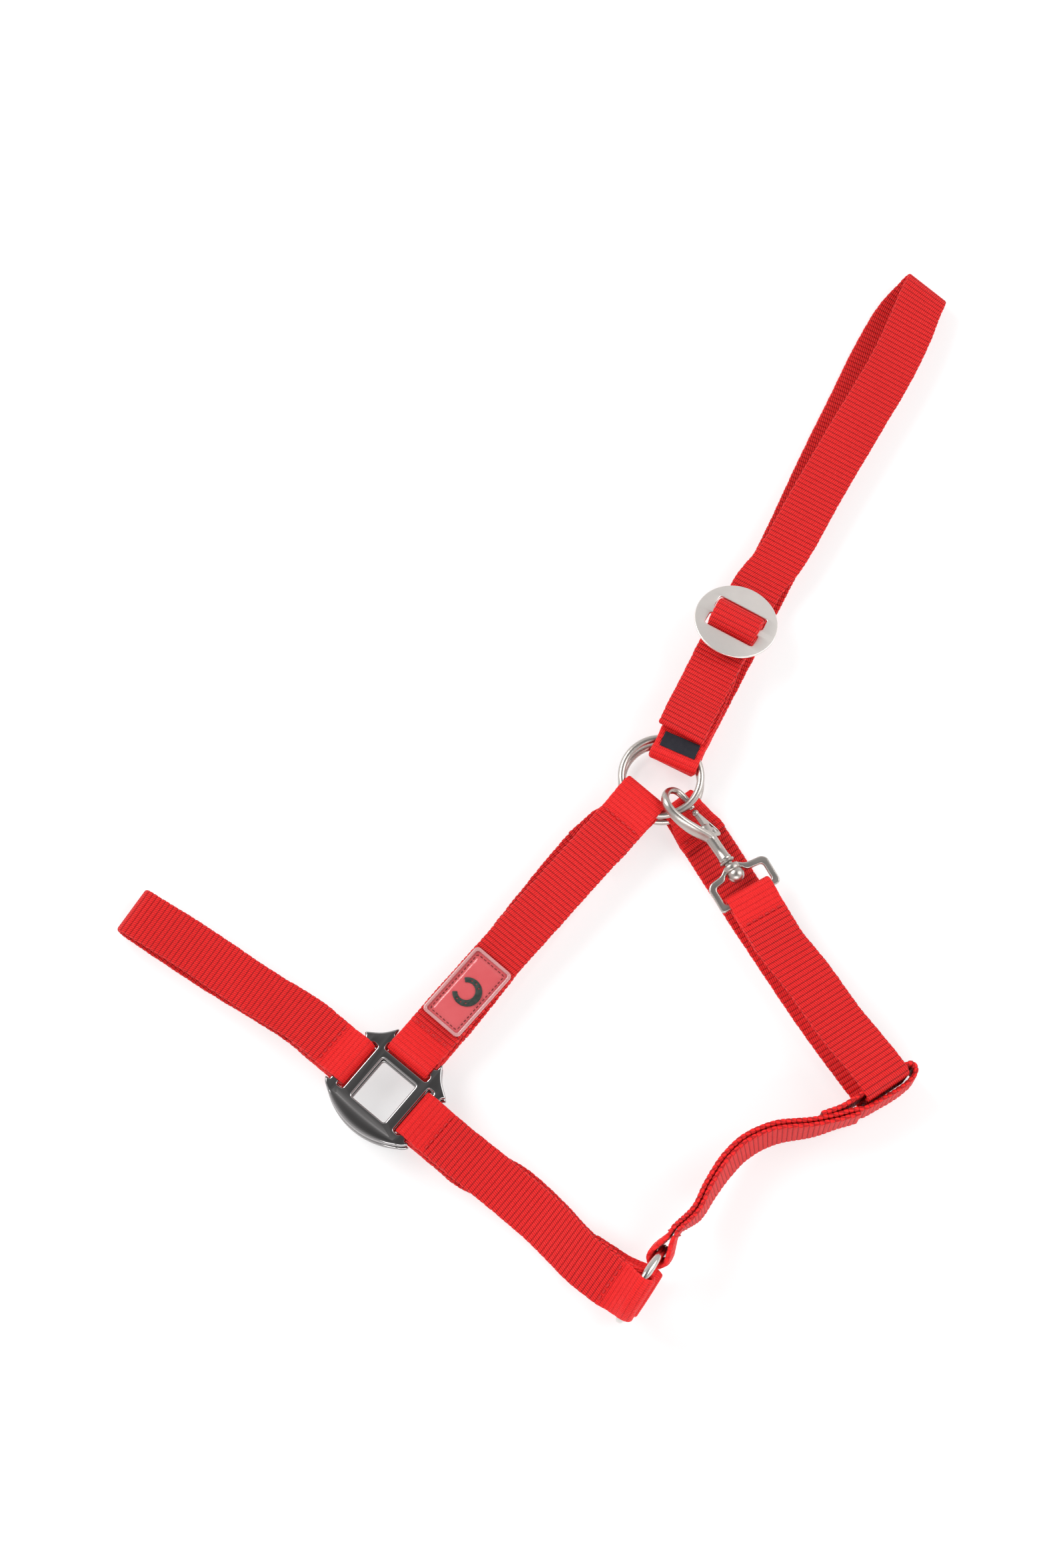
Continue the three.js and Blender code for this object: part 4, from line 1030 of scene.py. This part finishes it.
def ball_profile(radius, stop, step, at=0.0):
    """The profile of a ball from its pole, up to the angle stop."""
    return [(max(0.02, radius * math.cos(math.radians(a))), at + radius * math.sin(math.radians(a)))
            for a in range(-90, stop, step)]


def snap_body(name):
    profile = ball_profile(RIVET_RADIUS, 31, 8, RIVET_AT) + [
        (2.6, RIVET_AT + 3.1), (2.1, RIVET_AT + 3.6), (2, COLLAR[0] - 0.4), (3.5, COLLAR[0] - 0.1),
        (3.95, COLLAR[0] + 0.35), (3.95, COLLAR[1] - 0.35), (3.6, COLLAR[1]), (3.1, COLLAR[1] + 0.25),
        (3.35, COLLAR[1] + 0.8), (3.35, COLLAR[1] + 1.5), (3.05, COLLAR[1] + 2.0), (3.0, -14), (3.05, -9),
        (SHANK_RADIUS, -4), (SHANK_RADIUS, -0.9), (2.6, 0.1), (1.6, 0.7), (0.02, 0.8)]
    body = turned(name, profile, in_hook)
    boolean(body, hook_spine(name + "_spine"), "UNION")
    boolean(body, hook_pin(name + "_boss", 2.6, 2.7, 0.3), "UNION")
    slot_half = GATE_HALF + 0.35
    slot = box_piece(name + "_slot", (-8.2, -4.6, -slot_half), (3, 2.2, slot_half), in_hook)
    boolean(body, slot, "DIFFERENCE")
    boolean(body, hook_pin(name + "_bore", 1.0, 8), "DIFFERENCE")
    return sharp_by_angle(tidy(body), 40)


def snap_gate(name):
    lever = [(8.4, -0.7), (1, -0.8), (-3.2, -0.2), (-5.6, 0.2), (-7.1, -1.2), (-7.2, -3), (-7.6, -7.6),
             (-6.6, -8.9), (-4, -8.9), (2.6, -5.4), (8.4, -2.3)]
    slot = [(-5.6, -7.6), (-4.2, -7.8), (0.4, -5.4), (0, -4.6), (-1.2, -4.7)]
    gate = plate(name, rounded(lever, 1.2), [rounded(slot, 0.5)], 2 * GATE_HALF, 0.45, in_hook, 3)
    tip_place = basis(SNAP_ROOT + SHANK * 8.2 - HOOK_OUT * 1.5, SHANK, HOOK_OUT, HOOK_ACROSS)
    boolean(gate, turned(name + "_tip", ball_profile(1.8, 91, 10), tip_place, 32), "UNION")
    boolean(gate, hook_pin(name + "_bore", 1.0, 8), "DIFFERENCE")
    return sharp_by_angle(tidy(gate), 40)


def gate_spring(name):
    leaf = [(-7.6, 0.9), (-4.4, 1.5), (-0.4, 0.5), (-0.4, 0.9), (-4.4, 1.9), (-7.6, 1.3)]
    return plate(name, leaf, [], 2 * GATE_HALF - 0.4, 0.08, in_hook, 1)


def snap_eye(name):
    half, c = EYE_WIDTH / 2, EYE_BOSS_AT
    place = basis(EYE_BAR, heading(EYE_HEADING - 90), heading(EYE_HEADING), UP)
    outer = [(-half, -1.5), (half, -1.5), (half, 12.6), (half - 2.4, 14.8), (c + 7, 15.6), (c + 3.6, 18.4),
             (c - 3.6, 18.4), (c - 7, 15.6), (-half + 2.4, 14.8), (-half, 12.6)]
    inner = [(-13.6, 1.5), (13.6, 1.5), (13.6, 11.2), (c + 6.4, 12.2), (c + 4.6, 15), (c - 4.6, 15),
             (c - 6.4, 12.2), (-13.6, 11.2)]
    eye = plate(name, rounded(outer, 2.4), [rounded(inner, 1.8)], 3.0, 0.75, place, 4)
    run, side = heading(EYE_HEADING), heading(EYE_HEADING - 90)
    boss_at = basis(EYE_BAR + side * c + run * 16.7, run, side, UP)
    end = [(0.02, -1.7), (3.7, -1.7), (4.25, -1.3), (4.4, -0.7)]
    profile = end + [(r, -s) for r, s in end[::-1]]
    boolean(eye, turned(name + "_boss", profile, boss_at), "UNION")
    bore = turned(name + "_bore", [(0.02, -6), (2.55, -6), (2.55, 6), (0.02, 6)], boss_at)
    boolean(eye, bore, "DIFFERENCE")
    return sharp_by_angle(tidy(eye), 40)


# ------------------------------------------------ badge and label
on_badge = basis(BADGE_AT, heading(BADGE_HEADING), heading(BADGE_HEADING + 90), UP)


def bar_outline(length, width, radius):
    x, y = length / 2 - radius, width / 2 - radius
    line = []
    for k, (cx, cy) in enumerate(((x, y), (-x, y), (-x, -y), (x, -y))):
        line += arc_points((cx, cy), radius, 90 * k, 90 * k + 90, 8)
    return line


def badge_cover(name):
    """The soft raised rim of a welded vinyl pocket."""
    length, width = BADGE_SIZE
    return plate(name, bar_outline(length, width, 2.5),
                 [bar_outline(length - 2 * BADGE_RIM_WIDTH, width - 2 * BADGE_RIM_WIDTH, 1.2)],
                 BADGE_RIM, 0.7, lambda p: on_badge(p + np.array([0, 0, BADGE_RIM / 2])), 4)


def badge_window(name):
    """The pocket's thin window, slightly quilted, with its edges under the rim."""
    length, width = (size - 2 * BADGE_RIM_WIDTH + 0.6 for size in BADGE_SIZE)
    columns, rows = 64, 34
    verts = []
    for top in (1, 0):
        for i in range(columns + 1):
            for j in range(rows + 1):
                u, w = i / columns, j / rows
                x, y = (u - 0.5) * length, (w - 0.5) * width
                edge = min(x + length / 2, length / 2 - x, y + width / 2, width / 2 - y)
                seam = math.exp(-((edge - 2.3) / 0.5) ** 2)
                puff = 0.35 * (1 - math.exp(-max(edge - 2.3, 0) / 2.0))
                ripple = 0.05 * math.sin(x * 0.9 + 0.6 * y) * math.sin(y * 0.7 - 0.3 * x)
                verts.append((x, y, BADGE_BASE - 0.25 + puff - 0.22 * seam + ripple if top else 0.1))
    size = (columns + 1) * (rows + 1)

    def at(i, j, lower=0):
        return lower * size + i * (rows + 1) + j
    faces = []
    for i in range(columns):
        for j in range(rows):
            faces.append((at(i, j), at(i + 1, j), at(i + 1, j + 1), at(i, j + 1)))
            faces.append((at(i, j + 1, 1), at(i + 1, j + 1, 1), at(i + 1, j, 1), at(i, j, 1)))
    border = [(i, 0) for i in range(columns)] + [(columns, j) for j in range(rows)]
    border += [(i, rows) for i in range(columns, 0, -1)] + [(0, j) for j in range(rows, 0, -1)]
    for (i0, j0), (i1, j1) in zip(border, border[1:] + border[:1]):
        faces.append((at(i0, j0), at(i0, j0, 1), at(i1, j1, 1), at(i1, j1)))
    return tidy(make_object(name, on_badge(verts), faces))


def badge_emblem(name):
    """A plain horseshoe with its nail holes, its heels towards the upper edge of the badge."""
    line = arc_points((0, 0), 7.4, 128, 412, 40) + arc_points((0, 0.6), 4.5, 408, 132, 34)
    nails = [arc_points((0, 0.25), 5.95, a, a, 1)[0] for a in (165, 190, 215, 325, 350, 375)]
    holes = [arc_points(nail, 0.42, 0, 330, 10) for nail in nails]
    lifted = BADGE_BASE + 0.3
    return plate(name, line, holes, 0.5, 0.12, lambda p: on_badge(p + np.array([0, 0, lifted])), 2)


def badge_spots():
    """Stitches sunk in the vinyl all round, just inside the rim."""
    path = bar_outline(BADGE_SIZE[0] - 6.2, BADGE_SIZE[1] - 6.2, 1.2)
    path = np.array(path + path[:1])
    run = np.concatenate([[0], np.cumsum(np.linalg.norm(np.diff(path, axis=0), axis=1))])
    count = int(run[-1] / 2.3)
    spots = []
    for k in range(count):
        at = (k + 0.5) / count * run[-1]
        ends = [[float(np.interp(at + d, run, path[:, c])) for c in (0, 1)] for d in (-0.3, 0.3)]
        low, high = on_badge([end + [BADGE_BASE - 0.4] for end in ends])
        spots.append(((low + high) / 2, unit(high - low), UP))
    return spots


def size_label(name):
    """A small woven label: a thin sheet with a slight sway, thinner along its two long edges."""
    place = basis(LABEL_AT, heading(TAB_HEADING - 90), heading(TAB_HEADING), UP)
    length, width, thick = LABEL_SIZE
    columns, rows = 48, 20
    verts, weave = [], []
    for i in range(columns + 1):
        x = (i / columns - 0.5) * length
        ring = []
        for j in range(rows + 1):
            y = (j / rows - 0.5) * width
            hang = 0.12 * math.sin(x * 0.55 + 1) * (1 - abs(y) / width)
            ring.append((x, y, thick / 2 * (1 - (2 * abs(y) / width) ** 8 * 0.6) + hang))
        under = [(p[0], p[1], p[2] - thick * (0.9 if 0 < k < rows else 0.3)) for k, p in enumerate(ring)]
        verts += ring + under[::-1]
        weave += [(p[0], p[1], 0) for p in ring + under[::-1]]
    size = 2 * (rows + 1)
    rows_of = [verts[i * size:(i + 1) * size] for i in range(columns + 1)]
    obj = make_object(name, place(verts), loft(rows_of))
    give(obj, "weave", weave)
    return closed(obj)


# ------------------------------------------------ assembly
make_camera()
make_floor()
make_light()

WEBBING = webbing_material()
THREAD = thread_material("thread_red", (0.46, 0.004, 0.005, 1), (0.72, 0.018, 0.019, 1))
DARK_THREAD = thread_material("thread_dark", (0.10, 0.006, 0.007, 1), (0.24, 0.014, 0.015, 1))
SATIN = metal("satin_nickel", (0.55, 0.505, 0.47), 0.27, 0.8, 0.1)
PALE = metal("pale_nickel", (0.9, 0.85, 0.81), 0.34, 0.8, 0.08)
BRIGHT = metal("bright_nickel", (0.66, 0.63, 0.6), 0.1, 0.6, 0.06)
DARK = metal("dark_chrome", (0.4, 0.385, 0.385), 0.05, 0.5, 0.05, 0.00001)
STEEL = metal("spring_steel", (0.4, 0.4, 0.41), 0.3, 0.8)
VINYL = vinyl("clear_vinyl", ((0.60, 0.075, 0.085, 1), (0.68, 0.13, 0.14, 1)), (45.0, 220.0, 160.0),
              (0.12, 0.26), (0.00025, 0.35), (0.6, 0.08))
RIM = vinyl("vinyl_rim", ((0.50, 0.20, 0.20, 1), (0.66, 0.34, 0.34, 1)), (90.0, 90.0, 300.0),
            (0.1, 0.22), (0.0002, 0.4), (0.7, 0.06))
EMBLEM = emblem_material()
LABEL = label_material()

# Distance between ribs, and how far each stands out at the selvedge.
RIBS = {"crown_strap": (2.46, 0.3), "near_tab": (2.4, 0.25), "noseband": (2.5, 0.3),
        "near_cheek_strap": (2.48, 0.42), "off_cheek_strap": (2.48, 0.42), "near_chin_strap": (2.6, 0.22),
        "off_chin_strap": (2.6, 0.3), "throat_strap": (2.79, 0.3), "connector_strap": (2.6, 0.12)}
TAB_ROWS = (56, 96)                     # the stitched edges of the near tab, along it
ROUTES = {
    "crown_strap": crown_strap(), "near_tab": near_tab(), "noseband": noseband(),
    "near_cheek_strap": cheek_strap("near"), "off_cheek_strap": cheek_strap("off"),
    "near_chin_strap": chin_strap("near"), "off_chin_strap": chin_strap("off"),
    "throat_strap": throat_strap(), "connector_strap": connector_strap()}
for number, (node, (route, seams)) in enumerate(ROUTES.items()):
    piece = webbing("webbing_" + node, route, *RIBS[node], 11 + number)
    finish_piece(piece, WEBBING, "webbing", "webbing", node)
    for spot, seam in seams.items():
        row = f"stitching_{node.replace('_strap', '')}_{spot}"
        finish_piece(stitches("thread_" + row, seam_spots(seam)), THREAD, "thread", "webbing", row)
tab_edges = stitches("thread_tab_edges", edge_spots(ROUTES["near_tab"][0], *TAB_ROWS))
finish_piece(tab_edges, THREAD, "thread", "webbing")

for place, centre in (("near", NEAR_RING), ("off", OFF_RING)):
    finish_piece(wire_ring("ring_" + place, centre, UP, RING_RADIUS, RING_WIRE), SATIN, "satin_nickel",
                 f"{place}_ring_body", f"{place}_ring")
finish_piece(wire_ring("ring_lead", LEAD_RING, LEAD_AXIS, LEAD_RADIUS, LEAD_WIRE), BRIGHT, "bright_nickel",
             "lead_ring_body", "lead_ring")
for side in ("near", "off"):
    finish_piece(halter_square(f"square_{side}", side), DARK, "dark_chrome", "webbing", f"{side}_square")
finish_piece(adjuster_disc("disc_plate"), PALE, "satin_nickel", "adjuster", "adjuster_disc")
finish_piece(snap_body("hook_body"), SATIN, "satin_nickel", "hook", "snap_body")
finish_piece(hook_pin("hook_pin", 0.8, 3.6, 0.0), BRIGHT, "bright_nickel", "hook", "gate_pin")
finish_piece(gate_spring("hook_spring"), STEEL, "spring_steel", "hook", "gate_spring")
finish_piece(snap_gate("hook_gate"), SATIN, "satin_nickel", "gate", "snap_gate")
finish_piece(snap_eye("hook_eye"), SATIN, "satin_nickel", "eye", "snap_eye")
finish_piece(badge_cover("badge_rim"), RIM, "clear_vinyl", "webbing", "badge_cover")
finish_piece(badge_window("badge_window"), VINYL, "clear_vinyl", "webbing")
finish_piece(badge_emblem("badge_horseshoe"), EMBLEM, "emblem", "webbing", "badge_emblem")
finish_piece(stitches("badge_thread", badge_spots(), 1.65, 0.2, 0.28), DARK_THREAD, "thread", "webbing")
finish_piece(size_label("label_woven"), LABEL, "woven_label", "webbing", "size_label")


def corners(box):
    return [[float(n) for n in corner] for corner in box]


{"cad": corners(CAD_BOX), "visual": corners(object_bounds())}
